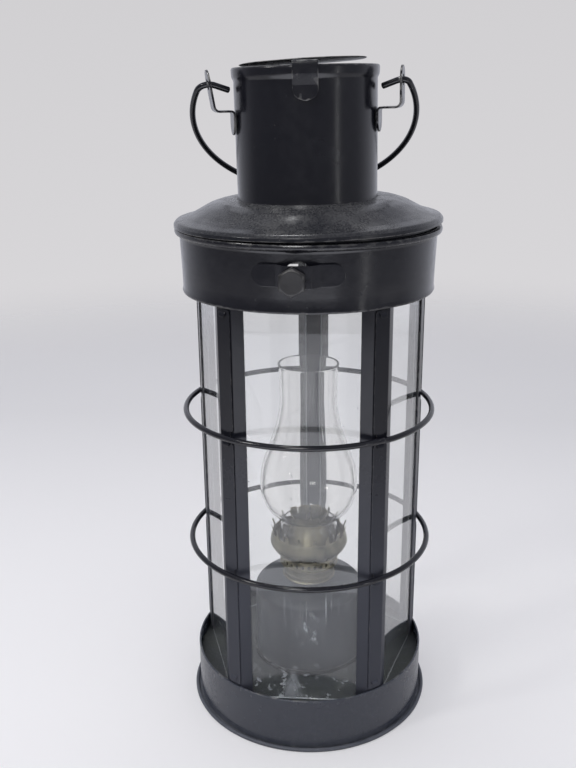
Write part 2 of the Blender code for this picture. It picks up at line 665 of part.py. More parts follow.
def build_cap(hood):
    """Draught disc carried over the chimney's mouth by one strap from front to rear."""
    rise = STRAP_STAND * math.tan(math.radians(CAP_PITCH))
    top = STRAP_TOP - STRAP_SHEET
    wall = TUBE_RADIUS + GAP
    path = [(-wall, STRAP_TIP), (-wall, STRAP_BEND), (-STRAP_STAND, STRAP_CLEAR), (-STRAP_STAND, top + rise),
            (STRAP_STAND, top - rise), (STRAP_STAND, STRAP_CLEAR), (wall, STRAP_BEND), (wall, STRAP_TIP)]
    strap = extruded(thicken(path, STRAP_SHEET), -STRAP_WIDTH / 2, STRAP_WIDTH / 2)
    stand_up(strap)
    round_tips(strap, lambda co: abs(co.z - STRAP_TIP) < 0.01, (0, 1, 0), STRAP_WIDTH / 2 - 1.2)
    make_object("cap_strap", strap, "black_paint", hood)

    roll = Matrix.Rotation(math.radians(-CAP_ROLL), 3, "Y")
    pitch = Matrix.Rotation(math.radians(-CAP_PITCH), 3, "X")
    disc = revolved([(0, 0), (CAP_RADIUS, 0), (CAP_RADIUS, SHEET), (0, SHEET)], 40)
    bmesh.ops.rotate(disc, verts=disc.verts, matrix=pitch @ roll)
    lift = GAP + STRAP_WIDTH / 2 * math.sin(math.radians(CAP_ROLL))
    make_object("cap_disc", disc, "black_paint", hood, (CAP_OFFSET, 0, STRAP_TOP + lift))


def build_font(lamp):
    """Oil tank with its neck ring."""
    bottom = DECK_TOP + GAP
    face = [(0, bottom), (FONT_RADIUS - 1.5, bottom), (FONT_RADIUS, bottom + 1.5),
            (FONT_RADIUS, FONT_SHOULDER - 2.5), (FONT_RADIUS - 0.9, FONT_SHOULDER),
            (FONT_RADIUS - 3.0, FONT_SHOULDER + 1.6), (30.0, FONT_SHOULDER + 4.2), (20.0, FONT_CROWN - 0.3),
            (FONT_MOUTH, FONT_CROWN)]
    make_object("font_body", revolved(thicken(face, SHEET), LAMP_FACETS), "black_paint", lamp)
    low = FONT_CROWN + GAP
    neck = [(FONT_MOUTH, low), (NECK_RADIUS + 1.0, low), (NECK_RADIUS + 1.0, low + 0.8),
            (NECK_RADIUS, low + 1.6), (NECK_RADIUS, NECK_TOP), (FONT_MOUTH, NECK_TOP)]
    make_object("font_neck", revolved(neck, LAMP_FACETS), "aged_brass", lamp)


def build_burner(lamp):
    """Burner: threaded base with its air screen, gallery, chimney seat, flame cone and wick tube."""
    low = NECK_TOP + GAP
    bore = THREAD_RADIUS - 1.2
    base = [(bore, low - 9.5), (THREAD_RADIUS, low - 9.5), (THREAD_RADIUS, low), (SCREEN_RADIUS, low),
            (SCREEN_RADIUS, low + SHEET), (bore, low + SHEET)]
    make_object("burner_base", revolved(base, LAMP_FACETS), "aged_brass", lamp)

    foot = low + SHEET + GAP
    levels = (foot, foot + 1.3, foot + 5.2, SCREEN_TOP)
    cells = 24

    def screen_place(column, row):
        angle = math.tau * column / cells
        return (SCREEN_RADIUS * math.cos(angle), SCREEN_RADIUS * math.sin(angle), levels[row])

    screen = grid_sheet(cells, 3, screen_place, lambda column, row: row != 1 or column % 2 == 0, True)
    screen = make_object("air_screen", screen, "aged_brass", lamp)
    add_thickness(screen, SCREEN_SHEET)
    middle = (SHAFT_X, SCREEN_RADIUS, SHAFT_Z)
    way = cylinder_tool("shaft_way", SHAFT_RADIUS + 2 * GAP, -3, 3, 12, lamp, middle)
    combine(screen, way, "DIFFERENCE")

    profile = smooth([(20.6, SCREEN_TOP + GAP), (23.0, 112.9), (26.3, 117.0), (28.7, 121.0), (27.9, 126.0),
                      (26.6, 131.0), (27.4, 137.0)], 1)
    around = GALLERY_SLOTS * 3

    def gallery_place(column, row):
        angle = math.tau * column / around
        radius, height = profile[row]
        pointed = 1.6 if row == len(profile) - 1 and column % 3 != 2 else 0.0
        return (radius * math.cos(angle), radius * math.sin(angle), height - pointed)

    gallery = grid_sheet(around, len(profile) - 1, gallery_place,
                         lambda column, row: row < 2 or column % 3 != 0, True)
    gallery = make_object("burner_gallery", gallery, "aged_brass", lamp)
    add_thickness(gallery, GALLERY_SHEET)

    under = SEAT_Z - SCREEN_SHEET
    seat = [(16.0, under), (24.6, under), (24.6, SEAT_Z), (16.0, SEAT_Z)]
    make_object("chimney_seat", revolved(seat, LAMP_FACETS), "aged_brass", lamp)

    crown = [(19.0, SEAT_Z + GAP + GALLERY_SHEET), (17.6, 121.5), (14.6, 130.0), (12.8, 135.0),
             (12.4, 143.0), (13.9, 148.0)]
    around_cone = CONE_PETALS * 3

    def cone_place(column, row):
        angle = math.tau * column / around_cone
        radius, height = crown[row]
        return (radius * math.cos(angle), radius * math.sin(angle), height)

    cone = grid_sheet(around_cone, len(crown) - 1, cone_place,
                      lambda column, row: row < 4 or column % 3 != 0, True)
    cone = make_object("flame_cone", cone, "aged_brass", lamp)
    add_thickness(cone, GALLERY_SHEET)


def build_wick(lamp):
    """Flat wick in its tube, and the spurred shaft that winds it, pointing to the rear."""
    plate_low = NECK_TOP + GAP + SHEET + GAP
    inner = (WICK_THICKNESS / 2 + 0.4, WICK_WIDTH / 2 + 0.4)
    outer = (inner[0] + TUBE_WALL, inner[1] + TUBE_WALL)
    disc = [(0, plate_low), (20.4, plate_low), (20.4, plate_low + 0.7), (0, plate_low + 0.7)]
    plate = make_object("wick_tube", revolved(disc, LAMP_FACETS), "aged_brass", lamp)
    sleeve = box_bmesh((-outer[0], -outer[1], plate_low - 8), (outer[0], outer[1], WICK_TUBE_TOP))
    combine(plate, make_object("wick_sleeve", sleeve, "aged_brass", lamp), "UNION")
    hollow = box_bmesh((-inner[0], -inner[1], plate_low - 9), (inner[0], inner[1], WICK_TUBE_TOP + 1))
    combine(plate, make_object("wick_way", hollow, "aged_brass", lamp), "DIFFERENCE")
    reach = SPUR_RADIUS + 0.4
    window = box_bmesh((0.5, -5.2, SHAFT_Z - reach + 0.3), (outer[0] + 1, 5.2, SHAFT_Z + reach))
    combine(plate, make_object("spur_window", window, "aged_brass", lamp), "DIFFERENCE")

    wick = box_bmesh((-WICK_THICKNESS / 2, -WICK_WIDTH / 2, WICK_BOTTOM),
                     (WICK_THICKNESS / 2, WICK_WIDTH / 2, WICK_TOP))
    make_object("wick", wick, "cotton", lamp)

    # The shaft's local frame: origin on its axis, local +Y pointing to the knob.
    centre = (SHAFT_X, 0, SHAFT_Z)
    lay = Matrix.Rotation(math.radians(-90), 3, "X")
    wheel = [(0, -7.5), (SHAFT_RADIUS, -7.5), (SHAFT_RADIUS, -4.4)]
    for start, end in ((-4.4, -2.6), (2.6, 4.4)):
        wheel += [(SPUR_RADIUS, start), (SPUR_RADIUS, end), (SHAFT_RADIUS, end)]
        if start < 0:
            wheel.append((SHAFT_RADIUS, -start - 1.8))
    wheel += [(SHAFT_RADIUS, KNOB_START - GAP), (0, KNOB_START - GAP)]
    shaft = revolved(wheel, 12)
    bmesh.ops.rotate(shaft, verts=shaft.verts, matrix=lay)
    make_object("wick_shaft", shaft, "dark_steel", lamp, centre)
    knob = revolved([(0, KNOB_START), (KNOB_RADIUS - 0.6, KNOB_START), (KNOB_RADIUS, KNOB_START + 0.8),
                     (KNOB_RADIUS, KNOB_END - 0.8), (KNOB_RADIUS - 0.6, KNOB_END), (0, KNOB_END)], 24)
    bmesh.ops.rotate(knob, verts=knob.verts, matrix=lay)
    make_object("wick_knob", knob, "aged_brass", lamp, centre)


def build_glass(lamp):
    """Glass chimney: straight foot, round bulb, narrow neck and a flared lip."""
    foot = SEAT_Z + GAP
    face = smooth([(21.6, foot), (21.7, 128.0), (22.6, 134.5), (27.4, 141.0), (33.6, 152.5), (36.1, 168.0),
                   (34.6, 182.0), (29.6, 197.0), (24.0, 213.0), (20.9, 229.0), (20.7, 241.0),
                   (22.0, 260.4)], 1)
    make_object("glass_chimney", revolved(thicken(face, GLASS_WALL), LAMP_FACETS), "clear_glass", lamp)


def main():
    clear_scene()
    build_base()
    build_cage()
    lock = build_band()
    build_lock(lock)
    hood = build_hood_frame()
    build_hood(hood, lock)
    build_ears(hood)
    build_bail(hood)
    build_cap(hood)
    lamp = make_frame("lamp_frame")
    build_font(lamp)
    build_burner(lamp)
    build_wick(lamp)
    build_glass(lamp)


main()
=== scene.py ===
from math import atan2, ceil, cos, degrees, exp, hypot, pi, radians, sin, sqrt, tan, tau

import bmesh
import bpy
from mathutils import Matrix, Vector, noise


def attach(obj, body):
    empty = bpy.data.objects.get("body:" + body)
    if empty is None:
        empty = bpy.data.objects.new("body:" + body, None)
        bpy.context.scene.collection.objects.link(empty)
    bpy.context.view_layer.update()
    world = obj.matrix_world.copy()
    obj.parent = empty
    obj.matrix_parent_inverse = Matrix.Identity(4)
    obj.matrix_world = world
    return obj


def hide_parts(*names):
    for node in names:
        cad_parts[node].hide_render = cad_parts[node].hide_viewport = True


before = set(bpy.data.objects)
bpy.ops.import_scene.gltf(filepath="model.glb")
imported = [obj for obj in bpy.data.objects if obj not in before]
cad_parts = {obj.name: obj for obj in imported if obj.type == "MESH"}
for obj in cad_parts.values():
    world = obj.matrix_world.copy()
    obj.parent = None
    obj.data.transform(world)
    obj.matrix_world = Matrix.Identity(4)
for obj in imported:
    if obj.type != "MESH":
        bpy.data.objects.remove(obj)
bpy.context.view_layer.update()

# Hanging oil lantern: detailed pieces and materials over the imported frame.  Lengths below are in
# millimetres unless a line says metres; +Z is up, the front pane faces -Y.

MM = 0.001
ROUND = 168                     # sides of the large turned pieces
SMALL_ROUND = 96                # sides of the lamp's turned pieces
SHEET = 0.8
GAP = 0.3
TINY = 0.003                    # merges what a cut leaves closer together than this
SHARP = 42.0                    # degrees; sharper edges are shaded as edges

PAN_RADIUS = 86.4
DECK_TOP = 30.0
PANE_FACE = 70.6
PANE_THICKNESS = 2.0
PANE_HALF_WIDTH = 43.0
PANE_TOP = 325.0
POST_FACE = 84.2
POST_FLANGE = 7.6
POST_TOP = 350.0
POST_ANGLES = [90.0 + 72.0 * index for index in range(5)]
PANE_ANGLES = [270.0 + 72.0 * index for index in range(5)]
COVER_HALF_WIDTH = 5.4
COVER_THICKNESS = 0.7
COVER_LOW = 40.6
COVER_HIGH = 315.4
RING_RADIUS = 88.0
RING_LEVELS = (129.5, 230.0)
WIRE_RADIUS = 2.0
LOCK_Z = 340.0
BRIDGE_RADIUS = 87.2
BRIDGE_RISE = 5.2
SCREW_X = -3.0
SCREW_Z = 337.7
HOOD_RADIUS = 90.25
HOOD_SEAT = 359.0
TUBE_RADIUS = 47.0
EAR_ANGLE = 13.0
EAR_REACH = 62.6
PIVOT_Z = 447.8
FONT_RADIUS = 40.8


# ---------------------------------------------------------------- shapes

def rounded(path, steps=4):
    """Polyline whose corners are rounded; a third number on a point is its corner radius."""
    points = []
    count = len(path)
    for index, item in enumerate(path):
        here = Vector(item[:2])
        radius = item[2] if len(item) > 2 else 0.0
        if radius == 0.0:
            points.append(here)
            continue
        back = (Vector(path[index - 1][:2]) - here).normalized()
        ahead = (Vector(path[(index + 1) % count][:2]) - here).normalized()
        half = back.angle(ahead) / 2
        centre = here + (back + ahead).normalized() * (radius / sin(half))
        begin = here + back * (radius / tan(half)) - centre
        end = here + ahead * (radius / tan(half)) - centre
        turn = begin.angle_signed(end)
        for step in range(steps + 1):
            points.append(centre + Matrix.Rotation(-turn * step / steps, 2) @ begin)
    return points


def spline(points, steps=6):
    """Catmull-Rom curve through 2-D or 3-D points."""
    points = [Vector(point) for point in points]
    ends = [points[0]] + points + [points[-1]]
    curve = []
    for a, b, c, d in zip(ends, ends[1:], ends[2:], ends[3:]):
        for step in range(steps):
            t = step / steps
            curve.append(0.5 * (2 * b + (c - a) * t + (2 * a - 5 * b + 4 * c - d) * t ** 2
                                + (3 * b - a - 3 * c + d) * t ** 3))
    return curve + [points[-1]]


def sheet_outline(path, thickness, edge_steps=3):
    """Closed outline of a sheet with rounded edges; the path is one face, the other lies to its left."""
    points = [Vector(point) for point in path]
    normals = []
    for start, end in zip(points, points[1:]):
        along = (end - start).normalized()
        normals.append(Vector((-along.y, along.x)))
    far = []
    for index, point in enumerate(points):
        before = normals[max(index - 1, 0)]
        after = normals[min(index, len(normals) - 1)]
        far.append(point + (before + after) * (thickness / (1.0 + before.dot(after))))
    outline = list(points)
    outline += half_round(points[-1], far[-1], edge_steps)
    outline += far[::-1]
    outline += half_round(far[0], points[0], edge_steps)
    return outline


def half_round(start, end, steps):
    """Points between two corners of a sheet's edge, on a shallow bulge."""
    middle = (start + end) / 2
    across = (end - start) / 2
    out = Vector((across.y, -across.x)) * 0.6
    angles = [pi * step / (steps + 1) for step in range(1, steps + 1)]
    return [middle - across * cos(a) + out * sin(a) for a in angles]


def supported(outline, near=0.5):
    """The closed outline with extra points close to its corners, so that what happens there stays there."""
    points = [Vector(point[:2]) for point in outline]
    count = len(points)
    corner = []
    for index, here in enumerate(points):
        back = here - points[index - 1]
        ahead = points[(index + 1) % count] - here
        bent = back.length > 1e-5 and ahead.length > 1e-5 and back.angle(ahead) > radians(12)
        corner.append(bent)
    out = []
    for index, here in enumerate(points):
        out.append(here)
        after = (index + 1) % count
        gap = points[after] - here
        if gap.length < 3 * near or (here.x <= 0.0 and points[after].x <= 0.0):
            continue
        if corner[index]:
            out.append(here + gap.normalized() * near)
        if corner[after]:
            out.append(points[after] - gap.normalized() * near)
    return out


def lathe(outline, sides, warp=None):
    """Closed turned body from a closed (radius, height) outline; warp(angle, radius, height) adds dents."""
    outline = supported(outline)
    bm = bmesh.new()
    rings = []
    for side in range(sides):
        angle = tau * side / sides
        ring = []
        for radius, height in outline:
            if warp and radius > 0.0:
                radius, height = warp(angle, radius, height)
            ring.append(bm.verts.new((radius * cos(angle), radius * sin(angle), height)))
        rings.append(ring)
    count = len(outline)
    for side in range(sides):
        near = rings[side]
        far = rings[(side + 1) % sides]
        for index in range(count):
            after = (index + 1) % count
            bm.faces.new((near[index], far[index], far[after], near[after]))
    bmesh.ops.remove_doubles(bm, verts=bm.verts, dist=0.0005)
    return bm


def dents(amount, around, upright, seed):
    """Warp that presses a turned sheet inwards by up to amount, in smooth patches."""
    def warp(angle, radius, height):
        spot = Vector((cos(angle) * around, sin(angle) * around, height * upright + seed))
        return radius - amount * (0.5 + 0.5 * noise.noise(spot)), height
    return warp


def loft(outline, levels, place=None):
    """Prism from a closed (x, y) outline through many levels; place(point, level) may move each point."""
    levels = list(levels)
    if len(levels) > 2:
        levels = [levels[0], levels[0] + 0.4] + levels[1:-1] + [levels[-1] - 0.4, levels[-1]]
    bm = bmesh.new()
    rings = []
    for level in levels:
        ring = []
        for point in outline:
            spot = Vector((point[0], point[1], level))
            ring.append(bm.verts.new(place(spot) if place else spot))
        rings.append(ring)
    count = len(outline)
    for low, high in zip(rings, rings[1:]):
        for index in range(count):
            after = (index + 1) % count
            bm.faces.new((low[index], low[after], high[after], high[index]))
    bm.faces.new(rings[0][::-1])
    bm.faces.new(rings[-1])
    return bm


def spread(start, end, parts):
    return [start + (end - start) * step / parts for step in range(parts + 1)]


def face_outwards(bm):
    bmesh.ops.recalc_face_normals(bm, faces=bm.faces)


def drop_loose(bm):
    bmesh.ops.delete(bm, geom=[vert for vert in bm.verts if not vert.link_faces], context="VERTS")


def soften(bm, width, segments=2, angle=35.0):
    """Bevel every edge sharper than an angle."""
    bm.normal_update()
    edges = [edge for edge in bm.edges
             if len(edge.link_faces) == 2 and edge.calc_face_angle() > radians(angle)]
    bmesh.ops.bevel(bm, geom=edges, offset=width, segments=segments, profile=0.5, affect="EDGES",
                    clamp_overlap=True)
    return bm


def inset_flats(bm, margin, smallest):
    """Give each large flat face a narrow margin."""
    big = [face for face in bm.faces if face.calc_area() > smallest]
    bmesh.ops.inset_individual(bm, faces=big, thickness=margin, use_even_offset=True)
    return bm


def tube(points, radius, sides=16, closed=False, dome=True):
    """Round wire along 3-D points, with rounded ends."""
    points = [Vector(point) for point in points]
    count = len(points)
    tangents = []
    for index in range(count):
        before = points[index - 1] if closed or index else points[index]
        after = points[(index + 1) % count] if closed or index < count - 1 else points[index]
        tangents.append((after - before).normalized())
    side_way = tangents[0].orthogonal().normalized()
    bm = bmesh.new()
    rings = []
    stations = []
    for index, point in enumerate(points):
        side_way = (side_way - tangents[index] * side_way.dot(tangents[index])).normalized()
        stations.append((point, tangents[index], side_way.copy(), radius))
    if dome and not closed:
        first = stations[0]
        last = stations[-1]
        steps = (0.25, 0.6, 0.85)
        head = [(first[0] - first[1] * radius * 0.5 * s, first[1], first[2], radius * sqrt(1 - s * s))
                for s in steps]
        tail = [(last[0] + last[1] * radius * 0.5 * s, last[1], last[2], radius * sqrt(1 - s * s))
                for s in steps]
        stations = head[::-1] + stations + tail
    for point, tangent, side_way, size in stations:
        other = tangent.cross(side_way)
        rings.append([bm.verts.new(point + (side_way * cos(tau * k / sides)
                                            + other * sin(tau * k / sides)) * size)
                      for k in range(sides)])
    pairs = list(zip(rings, rings[1:])) + ([(rings[-1], rings[0])] if closed else [])
    for near, far in pairs:
        for k in range(sides):
            after = (k + 1) % sides
            bm.faces.new((near[k], near[after], far[after], far[k]))
    if not closed:
        bm.faces.new(rings[0][::-1])
        bm.faces.new(rings[-1])
    return bm


def strip(path, half_width, thickness, widths=None):
    """Bent strap: a (forward, up) path swept sideways along Y, its ends narrowed by widths(share)."""
    outline = [Vector(point) for point in path]
    lengths = [0.0]
    for start, end in zip(outline, outline[1:]):
        lengths.append(lengths[-1] + (end - start).length)
    normals = []
    for index in range(len(outline)):
        before = outline[max(index - 1, 0)]
        after = outline[min(index + 1, len(outline) - 1)]
        along = (after - before).normalized()
        normals.append(Vector((-along.y, along.x)))
    shares = (-1.0, -0.94, -0.75, -0.5, -0.25, 0.0, 0.25, 0.5, 0.75, 0.94, 1.0)
    columns = len(shares) - 1
    bm = bmesh.new()
    faces = {}
    for layer in (0, 1):
        for index, point in enumerate(outline):
            spot = point + normals[index] * thickness * layer
            half = half_width * (widths(lengths[index], lengths[-1]) if widths else 1.0)
            faces[layer, index] = [bm.verts.new((spot.x, half * share, spot.y)) for share in shares]
    last = len(outline) - 1
    for index in range(last):
        for c in range(columns):
            for layer in (0, 1):
                a, b = faces[layer, index], faces[layer, index + 1]
                bm.faces.new((a[c], a[c + 1], b[c + 1], b[c]))
        for c in (0, columns):
            bm.faces.new((faces[0, index][c], faces[0, index + 1][c],
                          faces[1, index + 1][c], faces[1, index][c]))
    for index in (0, last):
        for c in range(columns):
            bm.faces.new((faces[0, index][c], faces[0, index][c + 1],
                          faces[1, index][c + 1], faces[1, index][c]))
    return bm


def round_ends(half_width, first=True, last=True):
    """Width share along a strap whose ends are half circles."""
    def share(along, total):
        left = []
        if first:
            left.append(along)
        if last:
            left.append(total - along)
        near = min(left) / half_width
        if near >= 1.0:
            return 1.0
        return max(sqrt(max(1.0 - (1.0 - near) ** 2, 0.0)), 0.12)
    return share


def dense(path, spacing):
    """The same polyline with extra points, no further apart than spacing."""
    points = [Vector(point) for point in path]
    out = [points[0]]
    for start, end in zip(points, points[1:]):
        parts = max(1, ceil((end - start).length / spacing))
        out += [start.lerp(end, step / parts) for step in range(1, parts + 1)]
    return out


def join(*parts):
    """One bmesh from several."""
    whole = bmesh.new()
    for part in parts:
        mesh = bpy.data.meshes.new("part")
        part.to_mesh(mesh)
        part.free()
        whole.from_mesh(mesh)
        bpy.data.meshes.remove(mesh)
    return whole


def mark_edges(bm):
    """Vertex value 'edge': 0 where the surface is flat or hollow, 1 on a convex edge."""
    bm.normal_update()
    layer = bm.verts.layers.float.new("edge")
    for vert in bm.verts:
        bend = [edge.calc_face_angle() for edge in vert.link_edges if len(edge.link_faces) == 2
                and edge.is_convex]
        vert[layer] = min(1.0, max(0.0, (max(bend, default=0.0) - 0.15) / 0.5))


def make(name, bm, material, body, nodes, place=None, sharp=SHARP):
    """Finish a bmesh drawn in millimetres as a piece that rides on a body and stands for CAD nodes."""
    if place is not None:
        bm.transform(place)
    face_outwards(bm)
    mark_edges(bm)
    bmesh.ops.scale(bm, vec=(MM, MM, MM), verts=bm.verts)
    mesh = bpy.data.meshes.new(name)
    bm.to_mesh(mesh)
    bm.free()
    mesh.shade_smooth()
    mesh.set_sharp_from_angle(angle=radians(sharp))
    mesh.materials.append(material)
    piece = bpy.data.objects.new(name, mesh)
    bpy.context.collection.objects.link(piece)
    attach(piece, body)
    if nodes:
        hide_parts(*nodes)
    return piece


def linked(name, bm):
    """A plain object made from a bmesh, which is used up."""
    mesh = bpy.data.meshes.new(name)
    bm.to_mesh(mesh)
    bm.free()
    made = bpy.data.objects.new(name, mesh)
    bpy.context.collection.objects.link(made)
    return made


def subtracted(blank, tool, heal=False):
    """The mesh of one object less another; heal copes with shells that overlap inside the blank."""
    change = blank.modifiers.new("cut", "BOOLEAN")
    change.operation = "DIFFERENCE"
    change.use_self = heal
    change.object = tool
    result = bpy.data.meshes.new_from_object(blank.evaluated_get(bpy.context.evaluated_depsgraph_get()))
    blank.modifiers.clear()
    bpy.data.objects.remove(tool, do_unlink=True)
    return result


def cut(piece, tool_bm, place=None):
    """Cut a tool out of a finished piece and keep the result as its mesh."""
    if place is not None:
        tool_bm.transform(place)
    face_outwards(tool_bm)
    bmesh.ops.scale(tool_bm, vec=(MM, MM, MM), verts=tool_bm.verts)
    piece.data = subtracted(piece, linked("cutter", tool_bm), heal=True)
    bm = bmesh.new()
    bm.from_mesh(piece.data)
    bmesh.ops.remove_doubles(bm, verts=bm.verts, dist=TINY * MM)
    bmesh.ops.dissolve_degenerate(bm, edges=bm.edges, dist=TINY * MM)
    bm.to_mesh(piece.data)
    bm.free()
    piece.data.set_sharp_from_angle(angle=radians(SHARP))


def pierce(bm, tool_bm, place):
    """Cut a tool out of a plain bmesh, before its edges are bevelled, so that the cut stays closed."""
    tool_bm.transform(place)
    for part in (bm, tool_bm):
        face_outwards(part)
    blank = linked("blank", bm)
    result = subtracted(blank, linked("cutter", tool_bm))
    bpy.data.objects.remove(blank, do_unlink=True)
    out = bmesh.new()
    out.from_mesh(result)
    bpy.data.meshes.remove(result)
    return out


def rotation(angle, axis):
    return Matrix.Rotation(radians(angle), 4, axis)


def degrees_from(centre, angle):
    """How far an angle in radians lies from a direction in degrees, the short way round."""
    return (degrees(angle) - centre + 180.0) % 360.0 - 180.0


def about_z(angle):
    return rotation(angle, "Z")


def move(x, y, z):
    return Matrix.Translation((x, y, z))


STAND = Matrix(((0, 0, 1, 0), (1, 0, 0, 0), (0, 1, 0, 0),
                (0, 0, 0, 1)))    # (sideways, up, outward) to (Y, Z, X)
CONTACT = Vector((-HOOD_RADIUS, 0.0, HOOD_SEAT))
HOOD = (about_z(3.0) @ Matrix.Translation(CONTACT) @ Matrix.Rotation(radians(0.9), 4, Vector((0, -1, 0)))
        @ Matrix.Translation(-CONTACT))
LOCK = about_z(-1.0)
WINDER = move(4.7, 0, 110.2) @ rotation(-90, "X")     # the axis of the wick winder


# ---------------------------------------------------------------- materials

class Tree:
    """The node tree of a material or a world, with one short call per node."""

    def __init__(self, owner):
        self.owner = owner
        owner.use_nodes = True
        self.tree = owner.node_tree
        self.tree.nodes.clear()

    def add(self, kind, inputs=None, **settings):
        made = self.tree.nodes.new(kind)
        for key, value in settings.items():
            setattr(made, key, value)
        for key, value in (inputs or {}).items():
            socket = made.inputs[key]
            if isinstance(value, bpy.types.NodeSocket):
                self.tree.links.new(value, socket)
            else:
                socket.default_value = value
        return made

    def math(self, operation, a, b=0.0):
        return self.add("ShaderNodeMath", {0: a, 1: b}, operation=operation).outputs[0]

    def times(self, a, b):
        return self.math("MULTIPLY", a, b)

    def plus(self, a, b):
        return self.math("ADD", a, b)

    def noise(self, scale, detail=3.0, stretch=None, roughness=0.5, shift=0.0):
        vector = self.coords
        if stretch or shift:
            vector = self.add("ShaderNodeMapping", {"Vector": vector, "Scale": stretch or (1, 1, 1),
                                                    "Location": (shift, shift, shift)}).outputs[0]
        made = self.add("ShaderNodeTexNoise", {"Vector": vector, "Scale": scale, "Detail": detail,
                                               "Roughness": roughness})
        return made.outputs[0]

    def band(self, value, low, high, start=0.0, end=1.0):
        made = self.add("ShaderNodeMapRange", {"Value": value, "From Min": low, "From Max": high,
                                               "To Min": start, "To Max": end})
        made.clamp = True
        return made.outputs[0]

    def axis(self, vector, index):
        return self.add("ShaderNodeSeparateXYZ", {0: vector}).outputs[index]

    def blend(self, share, a, b):
        made = self.add("ShaderNodeMix", data_type="RGBA")
        for key, value in ((0, share), (6, a), (7, b)):
            if isinstance(value, bpy.types.NodeSocket):
                self.tree.links.new(value, made.inputs[key])
            elif key == 0:
                made.inputs[key].default_value = value
            else:
                made.inputs[key].default_value = (*value, 1.0)
        return made.outputs[2]

    def bump(self, height, distance, strength=1.0, normal=None):
        inputs = {"Height": height, "Distance": distance, "Strength": strength}
        if normal is not None:
            inputs["Normal"] = normal
        return self.add("ShaderNodeBump", inputs).outputs[0]

    def edge(self):
        return self.add("ShaderNodeAttribute", attribute_name="edge").outputs["Fac"]

    def done(self, shader, output="ShaderNodeOutputMaterial"):
        self.tree.links.new(shader, self.add(output).inputs["Surface"])
        return self.owner


def material_tree(name):
    t = Tree(bpy.data.materials.new(name))
    t.coords = t.add("ShaderNodeTexCoord").outputs["Object"]
    t.normal = t.add("ShaderNodeNewGeometry").outputs["Normal"]
    return t


def paint(name, tone=(0.0100, 0.0102, 0.0158), gloss=0.2, dust=0.05, film=0.012,
          dust_and_sheen_tone=(0.19, 0.195, 0.205),
          wear=0.5, specks=0.25, grain=0.3, ior=1.5, peel=0.4, size=1500.0, reach=0.0, low=0.0, foot=0.0,
          dull=1.2, bottom_dust_and_sheen=0.0):
    """Old black enamel: a gloss coat with settled dust, specks, fine orange peel and rubbed edges; when asked,
    also a pale layer growing towards the bottom that is painted reflection of the floor, and pale blotches on
    the lowest few millimetres, part dust and part painted reflection of the floor.
    """
    t = material_tree(name)
    fine = t.noise(size, 2.0)
    middle = t.noise(170.0, 4.0)
    cloud = t.noise(26.0, 5.0, shift=3.1)
    up = t.band(t.axis(t.normal, 2), 0.25, 0.97)
    grains = t.band(fine, 0.40, 0.62)
    settled = t.times(t.times(up, dust),
                     t.plus(0.2, t.times(t.band(cloud, 0.3, 0.7), 1.6)))
    settled = t.times(settled, t.plus(0.35, t.times(grains, 1.3)))
    film_and_sheen = t.band(cloud, 0.45, 0.75, film * 0.3, film * 2.0)
    if foot:
        out = t.add("ShaderNodeVectorMath", {0: t.coords, 1: (1.0, 1.0, 0.0)},
                    operation="MULTIPLY").outputs[0]
        out = t.add("ShaderNodeVectorMath", {0: out}, operation="LENGTH").outputs["Value"]
        drift = t.times(t.band(out, 0.062, 0.048), t.band(fine, 0.50, 0.66))
        film_and_sheen = t.plus(film_and_sheen, t.times(drift, foot))
    # part dust, part painted reflection: pale blotches on the lowest 6 mm lighten the bead where it mirrors
    # shaded floor.
    if bottom_dust_and_sheen:
        bottom_dust_and_sheen_mask = t.band(t.axis(t.coords, 2), 0.0060, 0.0015, 0.0, bottom_dust_and_sheen)
        film_and_sheen = t.plus(film_and_sheen, t.times(bottom_dust_and_sheen_mask, t.band(middle, 0.35, 0.65, 0.45, 1.3)))
    # painted reflection: a pale layer from 0.245 m down, full at 0.115 m and below, stands in for the bright
    # floor mirrored in the lower posts.
    if low:
        film_and_sheen = t.plus(film_and_sheen, t.band(t.axis(t.coords, 2), 0.245, 0.115, 0.0, low))
    dust_and_sheen = t.math("MINIMUM", t.plus(settled, film_and_sheen), 0.9)
    edge = t.edge()
    ragged = t.plus(edge, t.times(t.math("SUBTRACT", middle, 0.5), 2.4))
    rubbed = t.times(t.band(ragged, 0.72 - reach, 1.15 - reach), wear)
    spot = t.times(t.band(t.noise(520.0, 2.0, shift=7.7), 0.755, 0.785), specks)
    colour = t.blend(dust_and_sheen, tone, dust_and_sheen_tone)
    colour = t.blend(rubbed, colour, (0.24, 0.235, 0.225))
    colour = t.blend(spot, colour, (0.35, 0.34, 0.32))
    rough = t.plus(t.band(middle, 0.3, 0.7, gloss * 0.8, gloss * 1.25), t.times(dust_and_sheen, dull))
    rough = t.math("MINIMUM", t.plus(rough, t.times(rubbed, 0.25)), 0.85)
    skin = t.bump(fine, 0.00004, grain, t.bump(t.noise(330.0, 2.0), 0.00007, peel))
    skin = t.bump(spot, 0.0001, 0.6, skin)
    shader = t.add("ShaderNodeBsdfPrincipled", {"Base Color": colour, "Roughness": rough, "Normal": skin,
                                                "IOR": ior})
    return t.done(shader.outputs[0])


def metal(name, tone, dark, rough=0.42, scale=90.0, grime=0.5):
    """Bare or plated metal gone dull: blotched colour, darker in patches, with fine pitting."""
    t = material_tree(name)
    blotch = t.noise(scale, 5.0)
    fine = t.noise(1300.0, 3.0)
    edge = t.edge()
    share = t.times(t.band(blotch, 0.42, 0.68), grime)
    colour = t.blend(share, tone, dark)
    colour = t.blend(t.times(t.band(edge, 0.25, 0.8), 0.5), colour,
                     tuple(min(1.0, c * 1.5) for c in tone))
    finish = t.plus(t.band(fine, 0.3, 0.7, rough * 0.8, rough * 1.2), t.times(share, 0.25))
    skin = t.bump(fine, 0.00006, 0.5, t.bump(blotch, 0.0004, 0.5))
    shader = t.add("ShaderNodeBsdfPrincipled", {"Base Color": colour, "Roughness": finish, "Normal": skin,
                                                "Metallic": 0.9})
    return t.done(shader.outputs[0])


